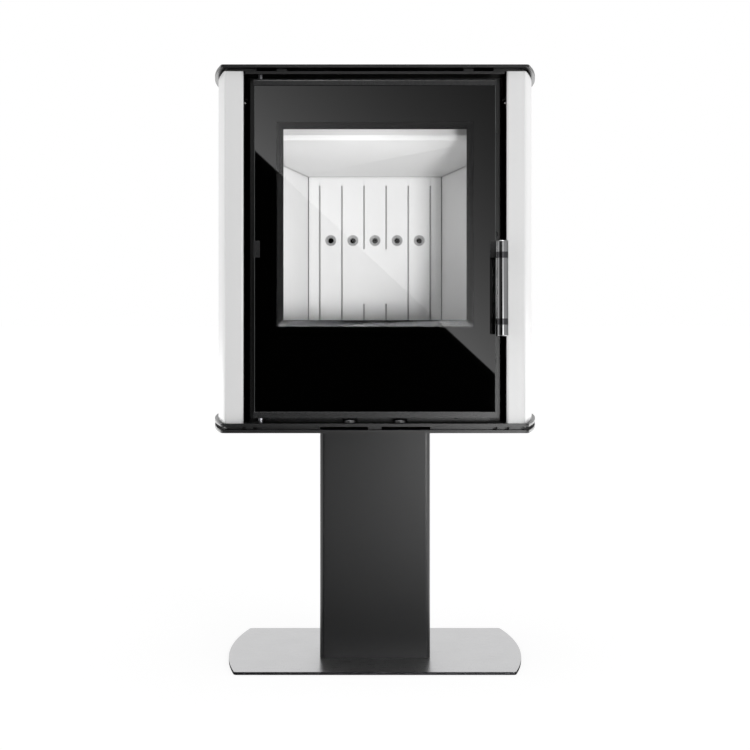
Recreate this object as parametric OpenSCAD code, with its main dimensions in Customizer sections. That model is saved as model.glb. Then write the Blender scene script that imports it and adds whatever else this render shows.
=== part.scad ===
// Wood burning stove: a glass-fronted firebox in a bowed white casing, on a
// pedestal column and a flat base plate. Millimetres, +Z up, front faces -Y.
// The origin is the centre of the base plate's underside.

/* [Overall] */
// Height from the floor to the top of the top plate
stove_h = 1016.5; // [1010:0.5:1030]
// Width of the widest plates, from side to side
plate_w = 563.2; // [560:0.1:566]
// Width of the straight front edge of those plates
plate_front_w = 505.2; // [502:0.1:508]
// Depth of those plates, from front to back
plate_d = 408; // [407:0.5:410]
// Thickness of the steel plates
plate_t = 5; // [5:0.1:5.2]
// Corner radius of the plates, seen from above
plate_corner_r = 6; // [3:0.5:8]

/* [Pedestal] */
// Width of the base plate
base_w = 517; // [480:1:560]
// Width of the straight front edge of the base plate
base_front_w = 473; // [440:1:475]
// Depth of the base plate
base_d = 316; // [300:1:360]
// Width of the column
column_w = 192; // [188:1:200]
// Depth of the column without its rear cover
column_d = 134; // [132:1:140]
// Height of the top of the column above the floor
column_top = 410; // [380:1:410]
// Radius of the column's bent corners
column_r = 8; // [5:0.5:10]
// Thickness of the column's sheet steel
column_sheet = 3; // [2:0.5:3]
// Outer diameter of the outside-air spigot
spigot_d = 100; // [80:1:110]
// Height of the spigot's axis above the floor
spigot_z = 95; // [70:1:300]

/* [Casing] */
// Height of the air gap between the two plates under the body
lower_gap = 5.5; // [5:0.1:6]
// Height of the air gap under the top plate
upper_gap = 5; // [4:0.1:6]
// How far the side panels stand in from the plate edge at the sides
panel_side_inset = 6; // [5:0.5:8]
// How far the side panels stand in from the plate edge at the front
panel_front_inset = 8; // [7:0.5:9]
// Thickness of the side panels' sheet
panel_sheet = 2.5; // [2:0.1:2.5]
// Distance from the middle to the inner edge of a panel's front flange
panel_inner_x = 216.8; // [216:0.1:220]
// Radius of the panels' bent edges
panel_edge_r = 4; // [3:0.5:5]

/* [Firebox] */
// Outer width of the welded firebox
shell_w = 386; // [384:1:388]
// Thickness of the firebox sheet
shell_sheet = 4; // [3:0.5:4]
// Half width of the opening in the front plate
mouth_half_w = 168; // [166:0.5:168]
// Height of the bottom of that opening
mouth_bottom = 585; // [580:1:588]
// Height of the top of that opening
mouth_top = 925; // [920:1:930]
// Height of the hearth above the floor
hearth_top = 505; // [500:1:520]
// Half width of the rear lining
rear_half_w = 126; // [120:1:130]
// Place of the rear lining's face, front to back
rear_face_y = 134; // [132:1:136]
// Height of the rear lining at its face
rear_top = 861; // [850:1:870]
// Slope of the baffle, rising to the front, in degrees
baffle_angle = 10; // [6:0.5:11]
// Thickness of the baffle
baffle_t = 27; // [20:1:30]
// Width of the grooves in the rear lining
groove_w = 3; // [2:0.5:5]
// Spacing of the grooves and of the air holes
groove_pitch = 41.7; // [38:0.1:42]
// Bore of the air holes in the rear lining
air_hole_d = 10.4; // [8:0.1:12]
// Bore of the flue collar
flue_d = 150; // [130:1:150]
// Distance of the flue's axis behind the middle
flue_y = 70; // [60:1:72]

/* [Door] */
// Half width of the glass
glass_half_w = 199; // [198:0.1:199.5]
// Thickness of the glass
glass_t = 4; // [3.5:0.1:4]
// Height of the underside of the door
door_bottom = 434; // [434:0.1:435]
// Height of the top of the door
door_top = 993.5; // [990:0.1:994]
// Height of the rails along the top and bottom of the glass
rail_h = 10.5; // [9:0.1:11]
// Thickness of those rails
rail_t = 3; // [2.5:0.1:3]
// Half width of the window, at the back of its bevel
window_half_w = 152; // [145:0.5:153]
// Height of the bottom of the window, at the back of its bevel
window_bottom = 595.5; // [590:0.5:600]
// Height of the top of the window, at the back of its bevel
window_top = 912.5; // [905:0.5:915]
// Width of the bevel round the window
bevel_w = 10.5; // [6:0.5:11]
// Diameter of the rope seal
rope_d = 8; // [7:0.5:8]
// Diameter of the hinge pins
hinge_pin_d = 10; // [8:0.5:10]

/* [Handle and latch] */
// Diameter of the handle tube
handle_d = 20; // [18:0.5:20]
// Height of the lower end of the handle
handle_bottom = 571; // [560:1:580]
// Height of the upper end of the handle
handle_top = 725; // [720:1:740]
// Distance of the handle's axis in front of the glass
handle_reach = 58; // [50:1:62]
// Diameter of the latch shaft
latch_shaft_d = 12; // [10:0.5:12]

/* [Air controls] */
// Diameter of the two air knobs
knob_d = 21; // [18:0.5:22]
// Height of the two air knobs
knob_h = 5; // [4:0.1:5]
// Diameter of the two control rods
rod_d = 5; // [4:0.1:5]
// Distance of each control from the middle
control_x = 41.5; // [40:0.5:44]

/* [Hidden] */
$fn = 64;
// Overshoot that keeps cuts clear of the faces that they pass through
eps = 1;
// Radial play of a shaft in its hole
play = 0.05;
// Step back from a tangent point, so that the two faces there cross cleanly
seam = 0.2;

// Levels
bottom_plate_z = column_top;
spacer_z = bottom_plate_z + plate_t;
support_z = spacer_z + lower_gap;
deck_z = support_z + plate_t;
top_plate_z = stove_h - plate_t;
panel_top = top_plate_z - upper_gap;
inner_top_z = panel_top - plate_t;
air_box_h = 15.5;
shell_z = deck_z + air_box_h;
shell_top = inner_top_z - 16.5;
collar_top = stove_h + 19.5;

// Plan of the plates: the bowed sides are arcs about (-side_x, 0) and (side_x, 0)
half_d = plate_d / 2;
bow = (plate_w - plate_front_w) / 2;
side_r = (half_d * half_d + bow * bow) / (2 * bow);
side_x = side_r - plate_w / 2;
base_bow = (base_w - base_front_w) / 2;
base_side_r = (base_d * base_d / 4 + base_bow * base_bow) / (2 * base_bow);
base_side_x = base_side_r - base_w / 2;
panel_face_y = half_d - panel_front_inset;
panel_side_r = side_r - panel_side_inset;
// Half width and front of the inner top plate, and half width of the front plate
inner_top_half_w = 214;
inner_top_front = -198;
inner_top_back = 190;
front_plate_half_w = 214;
flue_hole_d = flue_d + 20;

// Column
column_y = -1;
column_back = column_y + column_d / 2;
column_bolt_x = 76;
column_bolt_y = 48;
column_slot_half_w = 70;
cover_screw_x = 79;
cover_screw_z = [25, 207, 390];
spigot_l = 42;
spigot_wall = 2;
bolt_d = 8;
screw_d = 5;
screw_head_d = 9;
screw_head_h = 2.5;
air_way_d = 130;
spacer_inset = 8;

// Firebox, front to back
shell_sheet_back = 164;
shell_front = -152;
front_plate_y = -156;
shell_half_in = shell_w / 2 - shell_sheet;
shell_back_in = shell_sheet_back - shell_sheet;
floor_top = shell_z + shell_sheet;
ash_rail = 10;
lining_front = -150;
splay_y = 56;
lining_t = shell_half_in - mouth_half_w - 0.5;
well_half_w = 112;
well_front = -110;
well_back = 70;
grate_t = 12;
grate_ledge = 8;
air_hole_z = 741;
baffle_front = -110;
baffle_chamfer = 7;
deflector_z = 950;
deflector_back = -20;
joint_chamfer = 1.5;
port_d = 40;
port_y = 40;
air_box_half_w = 150;
air_box_front = -140;
air_box_wall = 4;
duct_half_w = 104;
duct_d = 24;
duct_sheet = 2;
rod_slot_w = 7;
rod_slot_h = 6.5;

// Door, front to back
glass_front = -panel_face_y;
glass_back = glass_front + glass_t;
gasket_back = glass_back + 1;
tray_back = -174;
tray_sheet = 4;
frame_half_w = 182;
frame_bottom = door_bottom + 11;
frame_top = door_top - 11;
sealing_front = -165.7;
hinge_x = -190;
hinge_y = -181;
hinge_plate_t = 5;
hinge_grip = 8;
rope_half_w = mouth_half_w + 6;
rope_z = [mouth_bottom - 6, mouth_top + 6];
sealing_w = 12;
rail_lip = 1.5;
rail_screw_d = 3;

// Handle and latch
latch_x = 192;
latch_y = -179;
handle_x = 204.5;
handle_y = glass_front - handle_reach;
tube_wall = 2;
neck_d = handle_d - tube_wall;
collar_h = 10;
collar_z = [594.5, 701.7];
collar_slit = 1.5;
arm_w = 6;
arm_h = 10;
boss_d = 18;
cap_h = 2;
hook_z = [520, 900];
hook_h = 6;

// Air controls
knob_z = deck_z + 0.5;
rod_z = knob_z + rod_d / 2;
knob_y = 1.5 - half_d + knob_d / 2;
knob_rim = 1;
rod_grip = 2;
shutter_play = 0.3;
shutter_t = 2.5;
shutter_front = -30;
shutter_back = 70;
shutter_lug = 8;

// ---- Shared shapes ----

// Outline with a straight front and back, bowed sides and rounded corners
module bowed_outline(depth, arc_r, arc_x, corner_r) {
    fillet_y = depth - corner_r;
    fillet_x = sqrt(pow(arc_r - corner_r, 2) - pow(fillet_y, 2)) - arc_x;
    tangent_y = fillet_y * arc_r / (arc_r - corner_r);
    intersection() {
        translate([-arc_x, 0]) circle(r = arc_r, $fn = 720);
        translate([arc_x, 0]) circle(r = arc_r, $fn = 720);
        square([2 * arc_r, 2 * (tangent_y - seam)], center = true);
    }
    square([2 * (fillet_x - seam), 2 * depth], center = true);
    for (x = [-fillet_x, fillet_x], y = [-fillet_y, fillet_y])
        translate([x, y]) circle(r = corner_r);
}

// Rectangle with rounded corners, centred
module rounded_rect(w, d, r) {
    square([w - 2 * r, d], center = true);
    square([w, d - 2 * r], center = true);
    for (x = [r - w / 2, w / 2 - r], y = [r - d / 2, d / 2 - r])
        translate([x, y]) circle(r = r);
}

// Box given by its lowest and highest corners
module span(low, high) translate(low) cube(high - low);

// Upright picture-frame ring, centred on x = 0, between two depths
module upright_ring(y0, y1, outer, inner) {
    difference() {
        span([-outer[0], y0, outer[1]], [outer[0], y1, outer[2]]);
        span([-inner[0], y0 - eps, inner[1]], [inner[0], y1 + eps, inner[2]]);
    }
}

// Profile drawn as [y, z] points, extruded along x
module along_x(x0, x1) translate([x0, 0, 0]) rotate([90, 0, 90]) linear_extrude(x1 - x0) children();

// Upright cylinder through a stack of plates
module drill(x, y, z0, z1, d) translate([x, y, z0]) cylinder(d = d, h = z1 - z0);

// Cylinder lying front to back
module drill_back(x, z, y0, y1, d) translate([x, y1, z]) rotate([90, 0, 0])
    cylinder(d = d, h = y1 - y0);

// The four places of the bolts that hold the column
module column_bolt_places() {
    for (x = [-column_bolt_x, column_bolt_x], y = [-column_bolt_y, column_bolt_y])
        translate([x, column_y + y, 0]) children();
}

// One of the bowed plates of the body
module body_plate(z) translate([0, 0, z]) linear_extrude(plate_t)
    bowed_outline(half_d, side_r, side_x, plate_corner_r);

// ---- Pedestal ----

module base_plate() color("gainsboro") difference() {
    countersink = bolt_d / 2;
    linear_extrude(plate_t) bowed_outline(base_d / 2, base_side_r, base_side_x, plate_corner_r);
    column_bolt_places() translate([0, 0, -eps]) cylinder(d = bolt_d + 2 * play, h = plate_t + 2 * eps);
    column_bolt_places() translate([0, 0, -play])
        cylinder(d1 = 2 * bolt_d + 4 * play, d2 = bolt_d, h = countersink + play);
}

// Ring that is welded inside one end of the column
module column_ring(z) {
    window = [120, 64];
    translate([0, column_y, z]) difference() {
        linear_extrude(plate_t) rounded_rect(column_w - 2 * column_sheet, column_d - 2 * column_sheet,
            column_r - column_sheet);
        translate([0, 0, -eps]) linear_extrude(plate_t + 2 * eps) square(window, center = true);
        for (x = [-column_bolt_x, column_bolt_x], y = [-column_bolt_y, column_bolt_y])
            translate([x, y, -eps]) cylinder(d = bolt_d + 2 * play, h = plate_t + 2 * eps);
    }
}

module column_frames() color("dimgray") for (z = [plate_t, column_top - plate_t]) column_ring(z);

// Countersunk bolts, up through the base plate
module foot_bolts() color("silver") column_bolt_places() {
    thread_past_ring = 2;
    cylinder(d1 = 2 * bolt_d, d2 = bolt_d, h = bolt_d / 2);
    cylinder(d = bolt_d, h = 2 * plate_t + thread_past_ring);
}

// Hexagon bolts, up through the head frame and the two plates
module head_bolts() color("silver") column_bolt_places() {
    across_corners = 15;
    translate([0, 0, column_top - 2 * plate_t]) cylinder(d = across_corners, h = plate_t, $fn = 6);
    translate([0, 0, column_top - plate_t]) cylinder(d = bolt_d, h = deck_z - column_top + plate_t);
}

// Folded sheet, open at the rear between two flanges
module column_shell() color("#333333") difference() {
    translate([0, column_y, plate_t]) linear_extrude(column_top - plate_t) difference() {
        rounded_rect(column_w, column_d, column_r);
        rounded_rect(column_w - 2 * column_sheet, column_d - 2 * column_sheet, column_r - column_sheet);
        translate([-column_slot_half_w, 0]) square([2 * column_slot_half_w, column_d]);
    }
    cover_screws() drill_back(0, 0, column_back - 10, column_back + eps, screw_d + 2 * play);
}

// Places of the screws that hold the column's rear cover
module cover_screws() {
    for (x = [-cover_screw_x, cover_screw_x], z = cover_screw_z) translate([x, 0, z]) children();
}

module column_rear_cover() color("#333333") difference() {
    half_w = 88;
    end_gap = 3;
    span([-half_w, column_back, plate_t + end_gap],
        [half_w, column_back + column_sheet, column_top - end_gap]);
    drill_back(0, spigot_z, column_back - eps, column_back + 10, spigot_d - 2 * spigot_wall);
    cover_screws() drill_back(0, 0, column_back - eps, column_back + 10, screw_d + 2 * play);
}

// Flanged tube for a duct that brings outside air into the column
module air_inlet_spigot() color("#444444") translate([0, column_back + column_sheet, spigot_z])
    rotate([-90, 0, 0]) difference() {
        flange_w = 15;
        flange_t = 2;
        union() {
            cylinder(d = spigot_d + 2 * flange_w, h = flange_t);
            cylinder(d = spigot_d, h = spigot_l);
        }
        translate([0, 0, -eps]) cylinder(d = spigot_d - 2 * spigot_wall, h = spigot_l + 2 * eps);
    }

// Pan-head screw with its head to the back
module pan_screw(y, length) {
    drill_back(0, 0, y, y + screw_head_h, screw_head_d);
    drill_back(0, 0, y - length, y, screw_d);
}

// Screws of the column cover and the rear panel, and one in the front plate by the door
module casing_screws() color("silver") {
    cover_screws() pan_screw(column_back + column_sheet, 7);
    rear_panel_screws() pan_screw(panel_face_y, 2 * panel_sheet);
    front_screw() {
        drill_back(0, 0, front_plate_y - screw_head_h, front_plate_y, screw_head_d);
        drill_back(0, 0, front_plate_y, shell_front, screw_d);
    }
}

// Place of the screw in the front plate
module front_screw() translate([202, 0, 739.6]) children();

// ---- Plates under the body ----

module bottom_plate() color("#2b2b2b") difference() {
    body_plate(bottom_plate_z);
    drill(0, 0, bottom_plate_z - eps, spacer_z + eps, air_way_d);
    column_bolt_places() drill(0, 0, bottom_plate_z - eps, spacer_z + eps, bolt_d + 2 * play);
}

// Plate that keeps the two plates apart, notched at the front for air and for its screws
module bottom_spacer() color("#1d1d1d") difference() {
    vent = [80, 76];
    vent_x = 51;
    screw_notches = [[198, 8], [217.5, 7]];
    notch_d = 10;
    translate([0, 0, spacer_z]) linear_extrude(lower_gap)
        bowed_outline(half_d - spacer_inset, side_r - spacer_inset, side_x, plate_corner_r);
    drill(0, 0, spacer_z - eps, support_z + eps, air_way_d);
    column_bolt_places() drill(0, 0, spacer_z - eps, support_z + eps, bolt_d + 2 * play);
    for (side = [-1, 1]) {
        spacer_notch(side * vent_x, vent[0], vent[1]);
        for (n = screw_notches) spacer_notch(side * n[0], n[1], notch_d);
    }
}

// Notch in the spacer's front edge
module spacer_notch(x, w, d) translate([x - w / 2, spacer_inset - half_d - eps, spacer_z - eps])
    cube([w, d + eps, lower_gap + 2 * eps]);

module support_plate() color("#2b2b2b") difference() {
    body_plate(support_z);
    for (x = [-control_x, control_x]) drill(x, 0, support_z - eps, deck_z + eps, port_d);
    column_bolt_places() drill(0, 0, support_z - eps, deck_z + eps, bolt_d + 2 * play);
}

// Low frame under the firebox: primary air on the right, secondary air on the left
module air_box() color("#3a3a3a") difference() {
    duct_back = shell_sheet_back + duct_d;
    x_in = air_box_half_w - air_box_wall;
    y_in = air_box_front + air_box_wall;
    z0 = deck_z - eps;
    z1 = shell_z + eps;
    secondary_back = shell_sheet_back - air_box_wall;
    primary_back = secondary_back - 2 * air_box_wall;
    union() {
        span([-air_box_half_w, air_box_front, deck_z], [air_box_half_w, shell_sheet_back, shell_z]);
        span([-duct_half_w, shell_sheet_back - eps, deck_z], [duct_half_w, duct_back, shell_z]);
    }
    span([-x_in, y_in, z0], [-air_box_wall / 2, secondary_back, z1]);
    span([air_box_wall / 2, y_in, z0], [x_in, primary_back, z1]);
    span([air_box_wall - duct_half_w, primary_back + air_box_wall, z0],
        [duct_half_w - air_box_wall, duct_back - air_box_wall, z1]);
    for (x = [-control_x, control_x]) rod_slot(x, air_box_front, air_box_wall);
}

// Slot for a control rod in the foot of an upright sheet
module rod_slot(x, y, sheet) span([x - rod_slot_w / 2, y - eps, deck_z - eps],
    [x + rod_slot_w / 2, y + sheet + eps, deck_z + rod_slot_h]);

// Sheet channel that takes the secondary air up the back of the firebox
module rear_air_duct() color("#3a3a3a") difference() {
    top = air_hole_z + duct_d;
    span([-duct_half_w, shell_sheet_back, shell_z], [duct_half_w, shell_sheet_back + duct_d, top]);
    span([duct_sheet - duct_half_w, shell_sheet_back - eps, shell_z - eps],
        [duct_half_w - duct_sheet, shell_sheet_back + duct_d - duct_sheet, top - duct_sheet]);
}

// ---- Firebox ----

module firebox_sides() color("#303030") for (x = [-shell_w / 2, shell_half_in])
    span([x, shell_front, shell_z], [x + shell_sheet, shell_sheet_back, shell_top]);

module firebox_rear_wall() color("#303030") difference() {
    span([-shell_half_in, shell_back_in, floor_top],
        [shell_half_in, shell_sheet_back, shell_top - shell_sheet]);
    air_holes(shell_back_in - eps, shell_sheet_back + eps, air_hole_d + 2);
}

// Floor with the ash pan's two rails, and roof with the flue hole
module firebox_floor_and_roof() color("#303030") {
    rail_x = 60;
    difference() {
        union() {
            span([-shell_half_in, shell_front, shell_z], [shell_half_in, shell_sheet_back, floor_top]);
            for (x = [-rail_x - ash_rail, rail_x])
                translate([x, -100, floor_top]) cube([ash_rail, 160, ash_rail]);
        }
        drill(control_x, port_y, shell_z - eps, floor_top + eps, port_d - 4);
    }
    difference() {
        span([-shell_half_in, shell_front, shell_top - shell_sheet],
            [shell_half_in, shell_sheet_back, shell_top]);
        drill(0, flue_y, shell_top - shell_sheet - eps, shell_top + eps, flue_d);
    }
}

// Row of five secondary air holes
module air_holes(y0, y1, d) {
    for (i = [-2:2]) drill_back(i * groove_pitch, air_hole_z, y0, y1, d);
}

// Front plate with its edges folded back
module firebox_front_plate() color("#2e2e2e") difference() {
    half_w = front_plate_half_w;
    r = 5;
    fold = 14;
    sheet = shell_front - front_plate_y;
    translate([0, 0, deck_z]) linear_extrude(inner_top_z - deck_z) difference() {
        union() {
            translate([r - half_w, front_plate_y]) square([2 * (half_w - r), 2 * r]);
            translate([-half_w, front_plate_y + r]) square([2 * half_w, fold - r]);
            for (x = [r - half_w, half_w - r]) translate([x, front_plate_y + r]) circle(r = r);
        }
        translate([sheet - half_w, shell_front]) square([2 * (half_w - sheet), fold]);
    }
    span([-mouth_half_w, front_plate_y - eps, mouth_bottom], [mouth_half_w, shell_front + eps, mouth_top]);
    for (x = [-control_x, control_x]) rod_slot(x, front_plate_y, sheet);
    front_screw() drill_back(0, 0, front_plate_y - eps, shell_front + eps, screw_d + 2 * play);
}

// Frame that the rope seal closes on
module sealing_frame() color("#262626") upright_ring(sealing_front, front_plate_y,
    [mouth_half_w + sealing_w, mouth_bottom - sealing_w, mouth_top + sealing_w],
    [mouth_half_w, mouth_bottom, mouth_top]);

// Low bar that stops embers, notched for the air controls
module front_sill() color("#303030") difference() {
    front = -169;
    knob_notch = 24;
    span([-182, front, deck_z], [192, front_plate_y, door_bottom - 1]);
    for (x = [-control_x, control_x])
        span([x - knob_notch / 2, front - eps, deck_z - eps],
            [x + knob_notch / 2, front_plate_y + eps, door_bottom]);
}

// Everything above the underside of the baffle
module above_baffle_line() translate([0, rear_face_y, rear_top]) rotate([-baffle_angle, 0, 0])
    span([-plate_w, -stove_h / 2, 0], [plate_w, stove_h / 2, stove_h / 2]);

// Lining block with a plan outline, from the hearth up to the baffle
module lining_block() difference() {
    translate([0, 0, hearth_top]) linear_extrude(shell_top - hearth_top - shell_sheet) children();
    above_baffle_line();
}

module hearth_lining() color("ivory") difference() {
    span([-shell_half_in, lining_front, floor_top], [shell_half_in, shell_back_in, hearth_top]);
    span([-well_half_w, well_front, shell_z], [well_half_w, well_back, hearth_top + eps]);
    span([-well_half_w - grate_ledge, well_front - grate_ledge, hearth_top - grate_t],
        [well_half_w + grate_ledge, well_back + grate_ledge, hearth_top + eps]);
}

module side_lining_plan() translate([mouth_half_w, lining_front])
    square([lining_t, splay_y - lining_front]);

// The splayed corner brick, chamfered where it meets the rear lining
module corner_lining_plan() {
    along = [mouth_half_w - rear_half_w, splay_y - rear_face_y] / norm([mouth_half_w - rear_half_w,
        splay_y - rear_face_y]);
    polygon([
        [mouth_half_w, splay_y],
        [mouth_half_w + lining_t, splay_y],
        [mouth_half_w + lining_t, shell_back_in],
        [rear_half_w, shell_back_in],
        [rear_half_w, rear_face_y + joint_chamfer],
        [rear_half_w, rear_face_y] + along * joint_chamfer,
    ]);
}

// The rear lining in plan, with chamfers along its two upright edges
module rear_lining_plan() polygon([
    [-rear_half_w, rear_face_y + joint_chamfer],
    [joint_chamfer - rear_half_w, rear_face_y],
    [rear_half_w - joint_chamfer, rear_face_y],
    [rear_half_w, rear_face_y + joint_chamfer],
    [rear_half_w, shell_back_in],
    [-rear_half_w, shell_back_in],
]);

module side_linings() color("ivory") for (side = [0, 1])
    lining_block() mirror([side, 0]) side_lining_plan();

module corner_linings() color("ivory") for (side = [0, 1])
    lining_block() mirror([side, 0]) corner_lining_plan();

// Groove in the rear lining with round ends
module groove(x, z0, z1) {
    depth = 3.5;
    r = groove_w / 2;
    span([x - r, rear_face_y - eps, z0], [x + r, rear_face_y + depth, z1 - r]);
    drill_back(x, z1 - r, rear_face_y - eps, rear_face_y + depth, groove_w);
    if (z0 > hearth_top) drill_back(x, z0, rear_face_y - eps, rear_face_y + depth, groove_w);
}

module rear_lining() color("ivory") difference() {
    groove_top = 844.5;
    plain_bottom = 622;
    plain_top = 726;
    foot = hearth_top - eps;
    lining_block() rear_lining_plan();
    for (side = [-1, 1]) {
        groove(side * 2.5 * groove_pitch, foot, groove_top);
        groove(side * 1.5 * groove_pitch, foot, groove_top);
        groove(side * groove_pitch / 2, foot, plain_bottom);
        groove(side * groove_pitch / 2, plain_top, groove_top);
    }
    air_holes(rear_face_y - eps, shell_back_in + eps, air_hole_d);
    for (i = [-2:2]) translate([i * groove_pitch, rear_face_y - play, air_hole_z]) rotate([-90, 0, 0])
        cylinder(d1 = 2 * air_hole_d, d2 = air_hole_d, h = air_hole_d / 2);
}

// Sloping board over the fire, chamfered along its lower front edge
module lower_baffle() color("ivory") intersection() {
    front = (baffle_front - rear_face_y) / cos(baffle_angle);
    back = 60;
    half_w = shell_half_in - 1;
    translate([0, rear_face_y, rear_top]) rotate([-baffle_angle, 0, 0]) along_x(-half_w, half_w) polygon([
        [front + baffle_chamfer, 0], [back, 0],
        [back, baffle_t], [front, baffle_t],
        [front, baffle_chamfer],
    ]);
    span([-half_w - eps, 2 * shell_front, 0], [half_w + eps, shell_back_in, stove_h]);
}

// Flat steel deflector under the flue, open at the rear
module upper_baffle() color("#444444") span([-shell_half_in, shell_front, deflector_z],
    [shell_half_in, deflector_back, deflector_z + shell_sheet]);

module grate() color("#3c3c3c") difference() {
    ledge = grate_ledge - 0.5;
    half_w = well_half_w + ledge;
    slot_w = 8;
    slot_pitch = 22;
    rim = 20;
    span([-half_w, well_front - ledge, hearth_top - grate_t], [half_w, well_back + ledge, hearth_top]);
    for (i = [-4:4]) translate([i * slot_pitch - slot_w / 2, well_front + rim, hearth_top - grate_t - eps])
        cube([slot_w, well_back - well_front - 2 * rim, grate_t + 2 * eps]);
}

module ash_pan() color("silver") {
    z = floor_top + ash_rail;
    gap = 4;
    pan_h = 30;
    sheet = 2;
    half_w = well_half_w - gap;
    difference() {
        span([-half_w, well_front + gap, z], [half_w, well_back - gap, z + pan_h]);
        span([sheet - half_w, well_front + gap + sheet, z + sheet],
            [half_w - sheet, well_back - gap - sheet, z + pan_h + eps]);
    }
}

module flue_collar() color("#2b2b2b") translate([0, flue_y, shell_top]) difference() {
    wall = 4;
    flange_w = 12;
    flange_t = 3;
    h = collar_top - shell_top;
    union() {
        cylinder(d = flue_d + 2 * flange_w, h = flange_t);
        cylinder(d = flue_d + 2 * wall, h = h);
    }
    translate([0, 0, -eps]) cylinder(d = flue_d, h = h + 2 * eps);
}

// ---- Top and casing ----

module inner_top_plate() color("#2b2b2b") difference() {
    span([-inner_top_half_w, inner_top_front, inner_top_z], [inner_top_half_w, inner_top_back, panel_top]);
    drill(0, flue_y, inner_top_z - eps, panel_top + eps, flue_hole_d);
}

module top_spacers() color("#2b2b2b") {
    for (x = [-154.5, 154.5], y = [-182, 176])
        translate([x, y, panel_top + upper_gap / 2]) cube([17, 20, upper_gap], center = true);
}

// Strips along the top of the side panels that close the gap under the top plate
module top_edge_strips() color("#222222") translate([0, 0, panel_top]) linear_extrude(upper_gap)
    difference() {
        outer = 12;
        inner = 24;
        middle_w = 392;
        bowed_outline(half_d - outer, side_r - outer, side_x, plate_corner_r);
        bowed_outline(half_d - inner, side_r - inner, side_x, plate_corner_r);
        square([middle_w, 2 * plate_d], center = true);
    }

module top_plate() color("#2b2b2b") difference() {
    body_plate(top_plate_z);
    drill(0, flue_y, top_plate_z - eps, stove_h + eps, flue_hole_d);
}

// Bowed sheet with its front and rear edges folded in, standing on the support plate
module side_panel_plan() {
    inner_r = max(panel_edge_r - panel_sheet, 0.5);
    fold_r = 4;
    lip = 15;
    difference() {
        bowed_outline(panel_face_y, panel_side_r, side_x, panel_edge_r);
        bowed_outline(panel_face_y - panel_sheet, panel_side_r - panel_sheet, side_x, inner_r);
        translate([panel_inner_x - plate_w, 0]) square([plate_w, plate_d]);
        translate([panel_inner_x + fold_r - plate_w, -plate_d]) square([plate_w, plate_d]);
    }
    translate([panel_inner_x, fold_r - panel_face_y]) square([panel_sheet, lip]);
    translate([panel_inner_x + fold_r, fold_r - panel_face_y]) difference() {
        intersection() {
            circle(r = fold_r);
            translate([-fold_r, -fold_r]) square(fold_r);
        }
        circle(r = fold_r - panel_sheet);
    }
}

// A side panel, its plan extruded, with holes for the rear panel's screws
module side_panel() difference() {
    translate([0, 0, deck_z]) linear_extrude(panel_top - deck_z) children();
    rear_panel_screws() drill_back(0, 0, panel_face_y - 10, panel_face_y + eps, screw_d + 2 * play);
}

module left_side_panel() color("white") side_panel() mirror([1, 0]) side_panel_plan();

module right_side_panel() color("white") side_panel() side_panel_plan();

// Places of the screws that hold the rear panel to the side panels' flanges
module rear_panel_screws() {
    half_w = 226;
    end = 30;
    for (x = [-half_w, half_w], z = [deck_z + end, (deck_z + panel_top) / 2, panel_top - end])
        translate([x, 0, z]) children();
}

// Flat sheet behind the flanges, with rows of convection slots low down and high up
module rear_panel() color("#2b2b2b") difference() {
    y1 = panel_face_y - panel_sheet;
    half_w = 236;
    slot = [8, 22];
    slot_pitch = 26;
    low_rows = [30, 62];
    high_rows = [108, 76, 44];
    rows = [for (r = low_rows) deck_z + r, for (r = high_rows) inner_top_z - r];
    span([-half_w, y1 - panel_sheet, deck_z + 1], [half_w, y1, inner_top_z - 1]);
    for (z = rows, i = [-7:7]) translate([i * slot_pitch - slot[0] / 2, y1 - panel_sheet - eps, z])
        cube([slot[0], panel_sheet + 2 * eps, slot[1]]);
    rear_panel_screws() drill_back(0, 0, y1 - 10, y1 + eps, screw_d + 2 * play);
}

// Upper and lower pins that the door hangs on
module hinge_pins() color("silver") {
    drill(hinge_x, hinge_y, deck_z, door_bottom + hinge_grip, hinge_pin_d);
    drill(hinge_x, hinge_y, door_top - hinge_grip, inner_top_z, hinge_pin_d);
}

// Brackets on the front plate whose stub pins the latch hooks pull behind
module latch_keepers() color("silver") {
    x = [195.5, 204];
    front = -172;
    pin = [199, -168.5];
    pin_d = 6;
    pin_end = 0.4;
    foot = 3;
    arm_z = [4, 8];
    foot_top = 22;
    for (z = hook_z) translate([0, 0, z + hook_h]) {
        span([x[0], front, arm_z[0]], [x[1], front_plate_y, arm_z[1]]);
        span([x[0], front_plate_y - foot, arm_z[1]], [x[1], front_plate_y, foot_top]);
        drill(pin[0], pin[1], pin_end, arm_z[0], pin_d);
    }
}

// ---- Door ----

// Folded tray that carries the glass, with two lips round the rope seal
module door_frame() color("#2e2e2e") {
    lip = 1.6;
    room = 7;
    side = 3;
    opening_half_w = 165;
    difference() {
        span([-frame_half_w, gasket_back, frame_bottom], [frame_half_w, tray_back, frame_top]);
        span([side - frame_half_w, gasket_back - eps, frame_bottom + side],
            [frame_half_w - side, tray_back - tray_sheet, frame_top - side]);
        span([-opening_half_w, 2 * tray_back, mouth_bottom + side],
            [opening_half_w, tray_back + eps, mouth_top - side]);
    }
    rope_lip(-room, lip);
    rope_lip(room, frame_half_w - rope_half_w - room);
}

// Lip that follows the rope at a distance, inside it if that is negative
module rope_lip(away, t) {
    h = 6;
    low = min(away, away + t * sign(away));
    high = max(away, away + t * sign(away));
    upright_ring(tray_back, tray_back + h,
        [rope_half_w + high, rope_z[0] - high, rope_z[1] + high],
        [rope_half_w + low, rope_z[0] - low, rope_z[1] + low]);
}

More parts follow.
